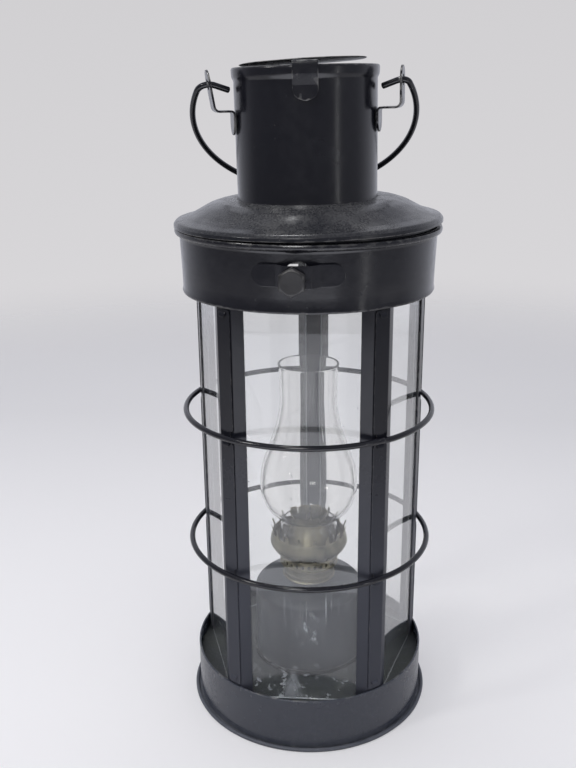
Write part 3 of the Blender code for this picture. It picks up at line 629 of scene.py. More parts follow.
def rusty_floor(name):
    """Enamel that has rusted and gathered grit."""
    t = material_tree(name)
    fine = t.noise(900.0, 3.0)
    middle = t.noise(120.0, 6.0, roughness=0.65)
    cloud = t.noise(35.0, 4.0, shift=1.7)
    share = t.band(t.plus(t.times(middle, 0.6), t.times(cloud, 0.4)), 0.42, 0.62)
    colour = t.blend(share, (0.022, 0.026, 0.032), (0.052, 0.057, 0.056))
    grit = t.band(fine, 0.55, 0.68)
    colour = t.blend(t.times(grit, 0.35), colour, (0.14, 0.15, 0.145))
    rough = t.band(share, 0.0, 1.0, 0.35, 0.85)
    skin = t.bump(fine, 0.0003, 0.7, t.bump(middle, 0.0006, 0.5))
    shader = t.add("ShaderNodeBsdfPrincipled", {"Base Color": colour, "Roughness": rough, "Normal": skin})
    return t.done(shader.outputs[0])


def glass(name, film=0.01, low_film=0.0, stains=0.0, painted_floor_reflection=0.0, frost=0.0,
          tint=(0.985, 0.99, 0.985), ior=1.5):
    """Clear glass that lets the lamps through, under a film of dust that is thicker low down; when asked, also
    a pale veil below 0.297 m that is painted reflection of the floor.
    """
    t = material_tree(name)
    clear = t.add("ShaderNodeBsdfPrincipled", {"Base Color": (*tint, 1.0), "Roughness": 0.0, "IOR": ior,
                                               "Transmission Weight": 1.0})
    height = t.axis(t.coords, 2)
    across = t.axis(t.coords, 0)
    mask = t.band(t.noise(20.0, 5.0, shift=5.0), 0.3, 0.75, film * 0.4, film * 1.6)
    mask = t.plus(mask, t.times(t.band(t.noise(320.0, 2.0, shift=2.2), 0.755, 0.775), 0.35))
    edge = t.edge()
    mask = t.plus(mask, t.times(edge, frost))
    # painted reflection: a pale veil below 0.297 m stands in for the bright floor mirrored in the front pane.
    if painted_floor_reflection:
        mask = t.plus(mask, t.band(height, 0.300, 0.294, 0.0, painted_floor_reflection))
    if low_film:
        wash = t.band(t.noise(38.0, 2.0, shift=8.0), 0.3, 0.75, 0.6, 1.3)
        belt = t.times(t.band(height, 0.135, 0.095), t.band(height, 0.030, 0.075, 0.12, 1.0))
        mask = t.plus(mask, t.times(t.times(wash, belt), low_film))
    if stains:
        flecks = t.band(t.noise(1.0, 5.0, stretch=(300.0, 300.0, 130.0), roughness=0.62, shift=9.0),
                        0.56, 0.68)
        near_x = t.band(t.math("ABSOLUTE", t.math("SUBTRACT", across, 0.003)), 0.012, 0.003)
        near_z = t.times(t.band(height, 0.070, 0.080), t.band(height, 0.104, 0.092))
        cluster = t.times(t.times(near_x, near_z), flecks)
        runs = t.band(t.noise(1.0, 1.0, stretch=(420.0, 420.0, 20.0)), 0.60, 0.74)
        run_z = t.times(t.band(height, 0.088, 0.100), t.band(height, 0.120, 0.108))
        drips = t.times(t.times(runs, run_z), 0.6)
        low = t.band(height, 0.062, 0.040)
        chips = t.times(t.band(t.noise(170.0, 6.0, shift=4.0, roughness=0.6), 0.585, 0.64), low)
        lean = t.plus(across, 0.008)
        fan_half = t.times(t.math("SUBTRACT", 0.056, height), 0.34)
        fan = t.times(t.band(t.math("SUBTRACT", t.math("ABSOLUTE", lean), fan_half), 0.0015, -0.003), low)
        fan = t.times(fan, t.band(t.noise(90.0, 5.0), 0.35, 0.65, 0.1, 0.7))
        marks = t.math("MAXIMUM", t.math("MAXIMUM", cluster, drips), t.math("MAXIMUM", chips, fan))
        mask = t.plus(mask, t.times(marks, stains))
    mask = t.math("MINIMUM", mask, 0.85)
    dirt_and_veil = t.add("ShaderNodeBsdfPrincipled", {"Base Color": (0.60, 0.63, 0.67, 1.0), "Roughness": 0.9})
    dirt_and_veil_mix = t.add("ShaderNodeMixShader", {0: mask, 1: clear.outputs[0], 2: dirt_and_veil.outputs[0]})
    lamp_ray = t.add("ShaderNodeLightPath").outputs["Is Shadow Ray"]
    through = t.add("ShaderNodeBsdfTransparent", {"Color": (*tint, 1.0)})
    shader = t.add("ShaderNodeMixShader", {0: lamp_ray, 1: dirt_and_veil_mix.outputs[0], 2: through.outputs[0]})
    return t.done(shader.outputs[0])


def cotton(name):
    t = material_tree(name)
    weave = t.noise(1.0, 2.0, stretch=(1500.0, 1500.0, 700.0))
    char = t.band(t.axis(t.coords, 2), 0.1385, 0.1405)
    colour = t.blend(t.band(weave, 0.35, 0.65), (0.50, 0.45, 0.36), (0.70, 0.66, 0.56))
    colour = t.blend(char, colour, (0.02, 0.018, 0.015))
    skin = t.bump(weave, 0.0003, 0.8)
    shader = t.add("ShaderNodeBsdfPrincipled", {"Base Color": colour, "Roughness": 0.95, "Normal": skin})
    return t.done(shader.outputs[0])


ENAMEL = paint("enamel", wear=0.3)
# The posts' pale bluish layer low down is painted reflection of the bright floor, not dust.
ENAMEL_POST = paint("enamel_post", tone=(0.0105, 0.011, 0.0165), gloss=0.17, film=0.012,
                    dust_and_sheen_tone=(0.20, 0.215, 0.275),
                    wear=0.35, ior=1.38, peel=0.15, low=0.24)
# The base's pale blotches along its foot are part dust, part painted reflection of the floor.
ENAMEL_BASE = paint("enamel_base", tone=(0.047, 0.054, 0.075), gloss=0.22, film=0.03,
                    dust_and_sheen_tone=(0.20, 0.21, 0.24),
                    wear=0.8, specks=0.25, grain=0.12, ior=1.6, peel=0.12, reach=0.1, bottom_dust_and_sheen=0.42)
ENAMEL_DOME = paint("enamel_dome", tone=(0.0125, 0.0135, 0.0190), gloss=0.23, dust=0.22, film=0.02,
                    dust_and_sheen_tone=(0.175, 0.175, 0.175), wear=0.6, specks=0.6, grain=0.5, size=850.0,
                    reach=0.15, foot=0.7, dull=0.2)
ENAMEL_SMALL = paint("enamel_small", gloss=0.22, film=0.012, wear=1.0, specks=0.2, reach=0.38)
ENAMEL_HEAD = paint("enamel_head", tone=(0.020, 0.019, 0.020), gloss=0.38, dust=0.1, film=0.03,
                    wear=0.6, specks=0.5,
                    grain=0.6)
ENAMEL_WIRE = paint("enamel_wire", gloss=0.16, dust=0.0, film=0.01, wear=0.0, specks=0.15)
ENAMEL_TANK = paint("enamel_tank", tone=(0.024, 0.028, 0.038), gloss=0.3, dust=0.10, film=0.10,
                    dust_and_sheen_tone=(0.20, 0.215, 0.245), wear=0.6, specks=0.3, grain=0.0, peel=0.08)
DECK = rusty_floor("deck")
BRASS = metal("brass", (0.25, 0.23, 0.16), (0.05, 0.045, 0.03), rough=0.34, scale=60.0, grime=0.85)
BRASS_BRIGHT = metal("brass_bright", (0.22, 0.205, 0.155), (0.08, 0.072, 0.055), rough=0.33)
STEEL = metal("steel", (0.10, 0.10, 0.10), (0.035, 0.03, 0.027), rough=0.4)
PANE = glass("pane", film=0.012, low_film=0.02, frost=0.6)
# The front pane's veil below 0.297 m is painted reflection of the floor; its stains and low film are dirt.
PANE_FRONT = glass("pane_front", film=0.014, low_film=0.045, stains=0.7, painted_floor_reflection=0.015, frost=0.6)
LAMP_GLASS = glass("lamp_glass", film=0.006, tint=(0.99, 0.985, 0.975), ior=1.45)
WICK = cotton("wick_cotton")


# ---------------------------------------------------------------- base and deck

def build_base():
    bead = 1.33
    centre = (88.68, 1.36)
    rim = [(centre[0] + bead * cos(radians(a)), centre[1] + bead * sin(radians(a)))
           for a in range(-90, 151, 15)]
    plate = [(0.0, 0.03), (60.0, 0.03), (86.0, 0.03)] + rim + [(87.3, 1.2), (86.9, 0.85), (60.0, 0.83),
                                                               (0.0, 0.83)]
    make("base_rim", lathe(plate, ROUND, dents(0.3, 5.0, 0.0, 4.0)), ENAMEL_BASE, "body", ["base_plate"])

    def seam_wall(angle, radius, height):
        radius, height = dents(0.35, 2.6, 0.02, 11.0)(angle, radius, height)
        away = degrees_from(118.0, angle)
        lap = max(0.0, 1.0 - max(0.0, away) / 3.2) if away > -0.4 else 0.0
        return radius - 0.35 + 0.35 * lap, height

    line = [(PAN_RADIUS, 1.3), (PAN_RADIUS, 3.2), (PAN_RADIUS, 8.0), (PAN_RADIUS, 14.0), (PAN_RADIUS, 20.0),
            (PAN_RADIUS, 26.0), (PAN_RADIUS, 32.0), (PAN_RADIUS, 37.0), (PAN_RADIUS, 38.9)]
    top = [(PAN_RADIUS - 0.75 + 0.75 * cos(radians(a)), 39.2 + 0.75 * sin(radians(a)))
           for a in range(0, 181, 22)]
    inner = [(PAN_RADIUS - 1.5, 36.2), (PAN_RADIUS - SHEET, 35.9), (PAN_RADIUS - SHEET, 1.3)]
    wall = line + top + inner
    make("pan_side", lathe(wall, ROUND, seam_wall), ENAMEL_BASE, "body", ["pan_wall"])

    def gritty(angle, radius, height):
        spot = Vector((radius * cos(angle), radius * sin(angle), 0.0))
        rise = 0.22 * noise.noise(spot * 0.12) + 0.10 * noise.noise(spot * 0.5)
        return radius, height + (rise - 0.25 if height > 29.0 else 0.0)

    rings = [(radius, DECK_TOP) for radius in (0.0, 20.0, 38.0, 44.0, 52.0, 60.0, 66.0, 71.0, 76.0,
                                               80.0, 83.0)]
    deck = rings + [(84.6, DECK_TOP - 0.1), (85.2, DECK_TOP - 0.9), (85.2, 1.3), (84.4, 1.3), (84.4, 28.4),
                    (83.6, 29.0), (0.0, 29.0)]
    make("deck_floor", lathe(deck, ROUND, gritty), DECK, "body", ["deck_plate"])

    seat = sheet_outline(rounded([(41.6, 33.6), (41.6, 30.3)]), SHEET)
    make("tank_seat", lathe(seat, SMALL_ROUND), ENAMEL, "body", ["font_seat_ring"])


# ---------------------------------------------------------------- cage

def post_profile():
    half = radians(36.0)
    flange_face = PANE_FACE + GAP + SHEET
    edge = (flange_face - POST_FACE * cos(half)) / sin(half)
    tip = (POST_FACE - POST_FLANGE * sin(half), edge + POST_FLANGE * cos(half))
    path = [(tip[0], -tip[1]), (POST_FACE, -edge, 1.1), (POST_FACE, edge, 1.1), tip]
    return sheet_outline(rounded(path, 3), SHEET, 2)


def tongue(width, length, lift):
    """Lanced tongue in (sideways, up, outward): rooted at the top, free and raised at its lower, round end."""
    half = width / 2
    rows = 7
    columns = 6
    bm = bmesh.new()
    layers = []
    for depth in (0.0, 0.75):
        grid = []
        for row in range(rows + 1):
            share = row / rows
            reach = length * share
            over = max(0.0, reach - (length - half)) / half
            wide = half * sqrt(max(1.0 - over * over, 0.03))
            rise = lift * sin(min(share * 1.6, 1.0) * pi / 2)
            grid.append([bm.verts.new((wide * (2 * c / columns - 1), -reach, rise + depth - 0.3))
                         for c in range(columns + 1)])
        layers.append(grid)
    for row in range(rows):
        for c in range(columns):
            for grid in layers:
                bm.faces.new((grid[row][c], grid[row][c + 1], grid[row + 1][c + 1], grid[row + 1][c]))
        for c in (0, columns):
            bm.faces.new((layers[0][row][c], layers[0][row + 1][c], layers[1][row + 1][c],
                          layers[1][row][c]))
    for row in (0, rows):
        for c in range(columns):
            bm.faces.new((layers[0][row][c], layers[0][row][c + 1], layers[1][row][c + 1],
                          layers[1][row][c]))
    face_outwards(bm)
    return soften(bm, 0.15, 2)


def cover_strip(index):
    """Cover strip of one post, in (sideways, up, outward), with its tongues."""
    corner = 2.3
    half = COVER_HALF_WIDTH
    levels = (COVER_LOW,) + RING_LEVELS + (COVER_HIGH,)
    side = []
    for number, (below, above) in enumerate(zip(levels, levels[1:])):
        low = below if number == 0 else below + 3.5
        high = above if number == 2 else above - 3.5
        side += [(half, low, corner), (half, low + 20.0), (half, (low + high) / 2), (half, high - 20.0),
                 (half, high, corner)]
        if number < 2:
            neck = half - corner
            side += [(neck, high), (neck, high + 7.0)]
    mirrored = [(-item[0],) + tuple(item[1:]) for item in reversed(side)]
    points = rounded(side + mirrored, 4)
    bm = bmesh.new()
    face = bm.faces.new([bm.verts.new((x, y, 0.0)) for x, y in points])
    grown = bmesh.ops.extrude_face_region(bm, geom=[face])
    lifted = [item for item in grown["geom"] if isinstance(item, bmesh.types.BMVert)]
    bmesh.ops.translate(bm, verts=lifted, vec=(0, 0, COVER_THICKNESS))
    face_outwards(bm)
    soften(bm, 0.22, 2)
    inset_flats(bm, 0.4, 40.0)
    parts = [bm]
    sway = 0.35 * sin(index * 2.1)
    for height, length in ((COVER_HIGH - 1.6, 3.6), (RING_LEVELS[1] - 3.0, 3.9), (RING_LEVELS[0] - 3.0, 3.9),
                           (COVER_LOW + 6.2, 3.0)):
        tab = tongue(5.6, length, 1.15)
        bmesh.ops.translate(tab, verts=tab.verts, vec=(sway, height, COVER_THICKNESS - 0.35))
        parts.append(tab)
    return join(*parts)


def build_cage():
    profile = supported(post_profile())
    for index, angle in enumerate(POST_ANGLES):
        number = index + 1

        def sag(spot, seed=index * 9.0):
            push = 0.18 * noise.noise(Vector((seed, spot.z * 0.018, spot.y * 0.05)))
            return Vector((spot.x - 0.3 + push * 0.5, spot.y, spot.z))

        post = loft(profile, spread(DECK_TOP + GAP, POST_TOP, 48), sag)
        make(f"post_sheet_{number}", post, ENAMEL_POST, "body", [f"post_{number}"],
             about_z(angle))
        strip_place = about_z(angle) @ move(POST_FACE - 0.15, 0, 0) @ STAND
        make(f"post_strap_{number}", cover_strip(index), ENAMEL_POST, "body", [f"post_cover_{number}"],
             strip_place)
        pane = bmesh.new()
        bmesh.ops.create_cube(pane, size=1.0)
        low = Vector((PANE_FACE - PANE_THICKNESS, -PANE_HALF_WIDTH, DECK_TOP + GAP))
        high = Vector((PANE_FACE, PANE_HALF_WIDTH, PANE_TOP))
        bmesh.ops.scale(pane, vec=high - low, verts=pane.verts)
        bmesh.ops.translate(pane, vec=(low + high) / 2, verts=pane.verts)
        soften(pane, 0.35, 1)
        inset_flats(pane, 0.4, 100.0)
        make(f"pane_glass_{number}", pane, PANE_FRONT if index == 0 else PANE, "body", [f"pane_{number}"],
             about_z(PANE_ANGLES[index]), sharp=20.0)

    for name, node, height, joint in (("ring_low", "guard_ring_lower", RING_LEVELS[0], 97.0),
                                      ("ring_high", "guard_ring_upper", RING_LEVELS[1], 306.5)):
        points = []
        steps = 240
        for step in range(steps + 1):
            share = step / steps
            angle = radians(joint + 0.35 + 359.3 * share)
            drift = 0.45 * (share - 0.5)
            lean = 0.25 * noise.noise(Vector((cos(angle) * 1.5, sin(angle) * 1.5, height)))
            radius = RING_RADIUS - 0.35 + 0.3 * noise.noise(Vector((sin(angle) * 2, cos(angle) * 2, height)))
            points.append((radius * cos(angle), radius * sin(angle), height + drift + lean))
        make(name, tube(points, WIRE_RADIUS - 0.03, 18), ENAMEL_WIRE, "body", [node],
             sharp=60.0)


# ---------------------------------------------------------------- band and lock

def build_band():
    def pressed(angle, radius, height):
        radius, height = dents(0.4, 2.2, 0.03, 21.0)(angle, radius, height)
        away = degrees_from(308.0, angle)
        low = exp(-((height - 318.5) / 3.5) ** 2 - (away / 7.0) ** 2)
        mark = exp(-((height - 320.0) / 1.6) ** 2 - ((away + 9.0) / 2.5) ** 2)
        return radius - 0.9 * low - 0.6 * mark, height

    line = [(84.9, 315.9), (85.9, 316.1), (86.25, 316.9), (85.95, 318.1), (85.75, 319.6),
            (85.95, 326.0), (86.2, 333.0),
            (86.5, 340.0), (86.75, 347.0), (86.9, 351.0), (87.0, 353.0), (87.4, 354.0), (88.8, 354.6),
            (89.8, 355.2), (90.15, 356.2), (90.15, 357.4), (89.7, 358.3), (88.7, 358.65), (86.9, 358.6),
            (86.2, 357.9), (86.1, 352.0), (85.7, 340.0), (85.1, 326.0), (84.9, 318.5)]
    band = make("band", lathe(line, ROUND, pressed), ENAMEL, "body", ["top_band"])
    hole = lathe([(0.0, -8.0), (8.4, -8.0), (8.4, 8.0), (0.0, 8.0)], 48)
    upright = rotation(90, "X")
    cut(band, hole, LOCK @ move(0, -86.5, LOCK_Z) @ upright)

    half = 28.3
    stations = dense(rounded([(-half, 0.0), (-13.2, 0.0, 1.6), (-7.3, BRIDGE_RISE, 1.6),
                              (7.3, BRIDGE_RISE, 1.6),
                              (13.2, 0.0, 1.6), (half, 0.0)], 4), 1.1)
    stations = [Vector((point.x, point.y)) for point in stations]
    bridge = strip(stations, 6.8, 1.1, round_ends(6.8))
    bridge.transform(Matrix(((1, 0, 0, 0), (0, 0, 1, 0), (0, 1, 0, LOCK_Z), (0, 0, 0, 1))))
    for vert in bridge.verts:
        turn = vert.co.x / BRIDGE_RADIUS
        radius = BRIDGE_RADIUS + 0.25 + vert.co.y
        vert.co = Vector((radius * sin(turn), -radius * cos(turn), vert.co.z))
    bridge = pierce(bridge, lathe([(0.0, 86.5), (4.0, 86.5), (4.0, 97.0), (0.0, 97.0)], 32),
                    move(SCREW_X, 0, SCREW_Z) @ rotation(90, "X") @ about_z(3.7))
    soften(bridge, 0.22, 2)
    make("latch_bridge", bridge, ENAMEL, "body", ["lock_bridge"], LOCK)


def hexagon(flats, low, high, chamfer):
    """Hex prism along +Z with its outer face's corners turned down."""
    corner = flats / 2 / cos(radians(30))
    points = [(corner * cos(radians(60 * k + 90)), corner * sin(radians(60 * k + 90)))
              for k in range(6)]
    bm = loft(points, (low, high))
    soften(bm, 0.5, 3, 20.0)
    inset_flats(bm, 0.5, 20.0)
    for vert in bm.verts:
        radial = hypot(vert.co.x, vert.co.y)
        limit = flats / 2 - 0.6
        if vert.co.z > high - 1.6 and radial > limit:
            vert.co.z -= (radial - limit) * chamfer
    return bm


def build_lock():
    out = 98.75
    under = out - 5.0
    facing = rotation(90, "X")
    place = LOCK @ move(SCREW_X, 0, SCREW_Z) @ facing
    head = hexagon(15.6, under + 0.15, out - 0.05, 0.55)
    crown = lathe([(0.0, out - 0.12), (6.2, out - 0.09), (6.9, out - 0.02), (7.2, out - 0.12),
                   (0.0, out - 0.6)], 48)
    shank_line = [(0.0, 74.6), (2.9, 74.6), (3.6, 75.4)]
    level = 75.4
    while level < 92.0:
        shank_line += [(3.85, level + 0.35), (3.35, level + 0.95)]
        level += 1.25
    shank_line += [(3.85, 93.2), (3.85, under + 0.4), (0.0, under + 0.4)]
    shank = lathe(shank_line, 32)
    make("latch_screw", join(head, crown, shank), ENAMEL_HEAD, "lock_screw", ["lock_screw"],
         place)

    ring = lathe([(4.2, 89.2), (5.5, 89.2), (5.6, 89.5), (5.5, 90.1), (4.2, 90.1)], 32)
    make("latch_retainer", ring, STEEL, "lock_screw", ["screw_retainer"], place)

    plate = bmesh.new()
    columns = 16
    faces = {}
    for layer, radius in enumerate((81.4, 82.6)):
        for column in range(columns + 1):
            turn = (SCREW_X + 13.5 * (2 * column / columns - 1)) / 81.4
            for row, height in enumerate((331.5, 343.2)):
                faces[layer, column, row] = plate.verts.new((radius * sin(turn), -radius * cos(turn),
                                                             height))
    for column in range(columns):
        for layer in (0, 1):
            plate.faces.new((faces[layer, column, 0], faces[layer, column + 1, 0],
                             faces[layer, column + 1, 1],
                             faces[layer, column, 1]))
        for row in (0, 1):
            plate.faces.new((faces[0, column, row], faces[0, column + 1, row], faces[1, column + 1, row],
                             faces[1, column, row]))
    for column in (0, columns):
        plate.faces.new((faces[0, column, 0], faces[0, column, 1], faces[1, column, 1], faces[1, column, 0]))
    face_outwards(plate)
    soften(plate, 0.3, 2)
    plate.transform(LOCK)
    nut = hexagon(12.4, -82.0, -76.05, 0.5)
    nut.transform(about_z(30.0))
    nut.transform(LOCK @ move(SCREW_X, 0, SCREW_Z) @ rotation(-90, "X"))
    clamp = make("latch_clamp", join(plate, nut), STEEL, "clamp", ["clamp_nut"])
    cut(clamp, lathe([(0.0, 70.0), (4.2, 70.0), (4.2, 90.0), (0.0, 90.0)], 32), place)

    fork = bmesh.new()
    grid = {}
    across = (-11.9, -10.3, -8.7, -4.0, 4.0, 8.7, 10.3, 11.9)
    levels = (333.5, 340.0, 346.0, 351.8, 356.0, 360.6)
    for layer, radius in enumerate((82.9, 83.9)):
        for column, along in enumerate(across):
            turn = (SCREW_X + along) / 82.9
            for row, height in enumerate(levels):
                grid[layer, column, row] = fork.verts.new((radius * sin(turn), -radius * cos(turn), height))

    def solid(column, row):
        return 0 <= column < len(across) - 1 and 0 <= row < len(levels) - 1 and (row > 2
                                                                                 or column in (0, 1, 5, 6))

    for column in range(len(across) - 1):
        for row in range(len(levels) - 1):
            if not solid(column, row):
                continue
            for layer in (0, 1):
                fork.faces.new((grid[layer, column, row], grid[layer, column + 1, row],
                                grid[layer, column + 1, row + 1],
                                grid[layer, column, row + 1]))
            for beside, corners in (((column - 1, row), ((column, row), (column, row + 1))),
                                    ((column + 1, row), ((column + 1, row), (column + 1, row + 1))),
                                    ((column, row - 1), ((column, row), (column + 1, row))),
                                    ((column, row + 1), ((column, row + 1), (column + 1, row + 1)))):
                if not solid(*beside):
                    a, b = corners
                    fork.faces.new((grid[(0,) + a], grid[(0,) + b], grid[(1,) + b], grid[(1,) + a]))
    drop_loose(fork)
    face_outwards(fork)
    soften(fork, 0.3, 2)
    make("fork_sheet", fork, STEEL, "hood", ["hood_fork"], LOCK)


# ---------------------------------------------------------------- hood

def build_hood():
    def hammered(angle, radius, height):
        spot = Vector((cos(angle) * 1.8, sin(angle) * 1.8, radius * 0.03))
        fall = 0.35 * (0.5 + 0.5 * noise.noise(spot)) * min(1.0, (91.0 - radius) / 8.0)
        small = 0.12 * noise.noise(Vector((cos(angle) * radius * 0.14, sin(angle) * radius * 0.14, 3.0)))
        ease = min(1.0, max(0.0, (88.5 - radius) / 5.0))
        apart = (radius * cos(angle) + 10.0) ** 2 + (radius * sin(angle) + 73.5) ** 2
        knock = 1.7 * exp(-apart / 40.0)
        return radius - 0.08, height - fall * 0.6 + (small - 0.12) * ease - knock

    face = rounded([(90.25, 359.05), (90.25, 361.0, 1.0), (88.6, 363.1, 2.5), (82.0, 365.0, 14.0),
                    (77.0, 367.1, 20.0),
                    (67.0, 372.5, 20.0), (60.0, 374.7, 14.0), (53.0, 375.2, 14.0), (47.35, 375.2)], 5)
    dome = sheet_outline(dense(face, 2.2), SHEET, 2)
    make("dome", lathe(dome, ROUND, hammered), ENAMEL_DOME, "hood", ["hood_dome"], HOOD)

    collar = sheet_outline([(85.3, 351.6), (85.3, 355.0), (85.3, 359.0), (85.3, 362.2)], SHEET)
    make("collar", lathe(collar, ROUND), ENAMEL, "hood", ["hood_collar"], HOOD)

    def rolled(angle, radius, height):
        radius, height = dents(0.3, 1.7, 0.025, 31.0)(angle, radius, height)
        if height < 376.0 and radius > 47.5:
            height += 0.12 * noise.noise(Vector((cos(angle) * 9.0, sin(angle) * 9.0, 0.0)))
        away = degrees_from(96.0, angle)
        lap = max(0.0, 1.0 - max(0.0, away) / 5.0) if away > -0.7 else 0.0
        return radius - 0.3 + 0.3 * lap, height

    wall = [(50.2, 373.35), (50.5, 373.6), (50.3, 374.05), (48.2, 374.3), (47.2, 374.9), (47.0, 376.2),
            (47.0, 384.0),
            (47.0, 395.0), (47.0, 406.0), (47.0, 417.0), (47.0, 428.0), (47.0, 438.0), (47.0, 445.0),
            (47.0, 448.9),
            (47.1, 449.7), (47.5, 450.5), (47.95, 451.3), (48.2, 452.6), (48.35, 454.6), (48.35, 456.2),
            (48.1, 457.1),
            (47.5, 457.55), (46.7, 457.5), (46.25, 456.9), (46.25, 451.0), (46.2, 445.0), (46.2, 374.0),
            (46.4, 373.4)]
    make("chimney", lathe(wall, ROUND, rolled), ENAMEL, "hood", ["chimney_tube"], HOOD)

    wall_face = TUBE_RADIUS + GAP
    for name, node, angle, lean in (("ear_l", "ear_left", 180 + EAR_ANGLE, 0.15),
                                    ("ear_r", "ear_right", -EAR_ANGLE, 0.0)):
        outer = EAR_REACH + 0.7
        arm = 431.3 - 0.7
        path = rounded([(wall_face + 1.4, 416.5), (wall_face + 1.4, arm, 1.4),
                        (outer - (PIVOT_Z - arm) * lean, arm, 4.2),
                        (outer + (456.5 - PIVOT_Z) * lean, 456.5)], 6)
        bore = lathe([(0.0, -4.0), (3.5, -4.0), (3.5, 4.0), (0.0, 4.0)], 32)
        bent = pierce(strip(dense(path, 1.2), 7.75, 1.35, round_ends(7.5)), bore,
                      move(EAR_REACH, 0, PIVOT_Z) @ rotation(90, "Y") @ about_z(3.7))
        soften(bent, 0.25, 2)
        make(name, bent, ENAMEL_SMALL, "hood", [node], HOOD @ about_z(angle))

    rise = 48.5 * tan(radians(0.6))
    top = 459.6 - 0.7
    path = rounded([(-wall_face, 436.7), (-wall_face, 445.8, 1.2), (-48.5, 452.4, 1.2),
                    (-48.5, top + rise, 1.0),
                    (48.5, top - rise, 1.0), (48.5, 452.4, 1.2), (wall_face, 445.8, 1.2),
                    (wall_face, 436.7)], 4)
    strap = strip(dense(path, 1.6), 7.75, 0.7, round_ends(7.0))
    strap.transform(rotation(90, "Z"))
    face_outwards(strap)
    soften(strap, 0.14, 2)
    make("strap", strap, ENAMEL_SMALL, "hood", ["cap_strap"], HOOD)

    def bowed(angle, radius, height):
        wave = 0.35 * noise.noise(Vector((cos(angle) * 1.4, sin(angle) * 1.4, 5.0))) * (radius / 41.2) ** 2
        return radius - 0.05, height + wave - 0.05

    disc = [(0.0, 0.0), (14.0, 0.0), (26.0, 0.0), (34.0, 0.0), (40.4, 0.0), (41.05, 0.25), (41.2, 0.42),
            (41.0, 0.65),
            (40.4, 0.8), (34.0, 0.8), (26.0, 0.8), (14.0, 0.8), (0.0, 0.8)]
    tilt = rotation(-0.6, "X") @ rotation(-1.9, "Y")
    lift = GAP + 7.75 * sin(radians(1.9))
    make("cap", lathe(disc, ROUND, bowed), ENAMEL_DOME, "hood", ["cap_disc"],
         HOOD @ move(-1.5, 0, 459.6 + lift) @ tilt)


def bail_half(side):
    """The bail's line from its middle to one hook's tip, as (across, down) points in its own plane."""
    offset = -1.2
    radius = 74.0
    drop = 34.5
    pivot = EAR_REACH * cos(radians(EAR_ANGLE)) - side * offset
    bend = (radius + drop - pivot ** 2 / (radius - drop)) / 2
    sweep = degrees(atan2(pivot, bend - drop))

    def arc(centre, size, start, end, steps):
        return [(centre[0] + size * cos(radians(start + (end - start) * k / steps)),
                 centre[1] + size * sin(radians(start + (end - start) * k / steps)))
                for k in range(steps + 1)]

    points = arc((0, drop), radius, 90, 90 - sweep, 44)
    points += arc((pivot, bend), bend, 90 - sweep, -90, 20)[1:]
    points += arc((pivot, 8.0), 8.0, -90, -118, 6)[1:]
    last = Vector(points[-1])
    run = last.x - 49.2 + side * offset
    points += [(last.x - run * k / 5, last.y + run * k / 5 * tan(radians(28.0))) for k in range(1, 6)]
    return [(side * across + offset, down) for across, down in points]


def build_bail():
    line = bail_half(-1)[:0:-1] + bail_half(1)
    drop = radians(41.9)
    pivot = Vector((0, -EAR_REACH * sin(radians(EAR_ANGLE)), PIVOT_Z))
    points = [pivot + Vector((across, down * cos(drop), -down * sin(drop))) for across, down in line]
    make("bail", tube(points, WIRE_RADIUS - 0.02, 18), ENAMEL_WIRE, "bail", ["bail_wire"],
         HOOD, sharp=60.0)


# ---------------------------------------------------------------- lamp

def build_tank():
    def fat(angle, radius, height):
        return dents(0.25, 1.5, 0.04, 41.0)(angle, radius, height)

    low = DECK_TOP + GAP
    face = rounded([(0.0, low), (FONT_RADIUS, low, 2.0), (FONT_RADIUS, 84.8, 3.4), (36.5, 89.2, 6.0),
                    (28.0, 91.4, 30.0),
                    (20.0, 92.7), (15.7, 93.0)], 6)
    tank = sheet_outline(dense(face, 4.0), SHEET, 2)
    make("tank", lathe(tank, SMALL_ROUND, fat), ENAMEL_TANK, "font", ["font_body"])
    neck = [(15.8, 93.4), (19.6, 93.4), (19.8, 93.8), (19.5, 94.3), (18.9, 94.6), (18.8, 96.5),
            (19.1, 97.0), (19.1, 97.6),
            (18.8, 98.1), (18.8, 100.6), (19.0, 101.2), (19.0, 102.8), (18.6, 103.6), (15.8, 103.6)]
    make("tank_neck", lathe(neck, SMALL_ROUND), BRASS_BRIGHT, "font", ["font_neck"])


def solid_sheet(bm, thickness):
    """Thicken an open surface inwards."""
    face_outwards(bm)
    bmesh.ops.solidify(bm, geom=bm.faces[:], thickness=thickness)
    return bm


def grid_round(profile, columns, keep, shape=None):
    """Surface of revolution in cells; keep(column, row) says which cells are metal."""
    bm = bmesh.new()
    lines = []
    for column in range(columns):
        line = []
        for row, (radius, height) in enumerate(profile):
            angle = tau * column / columns
            if shape:
                angle, radius, height = shape(column, row, angle, radius, height)
            line.append(bm.verts.new((radius * cos(angle), radius * sin(angle), height)))
        lines.append(line)
    for column in range(columns):
        near = lines[column]
        far = lines[(column + 1) % columns]
        for row in range(len(profile) - 1):
            if keep(column, row):
                bm.faces.new((near[row], far[row], far[row + 1], near[row + 1]))
    drop_loose(bm)
    return bm


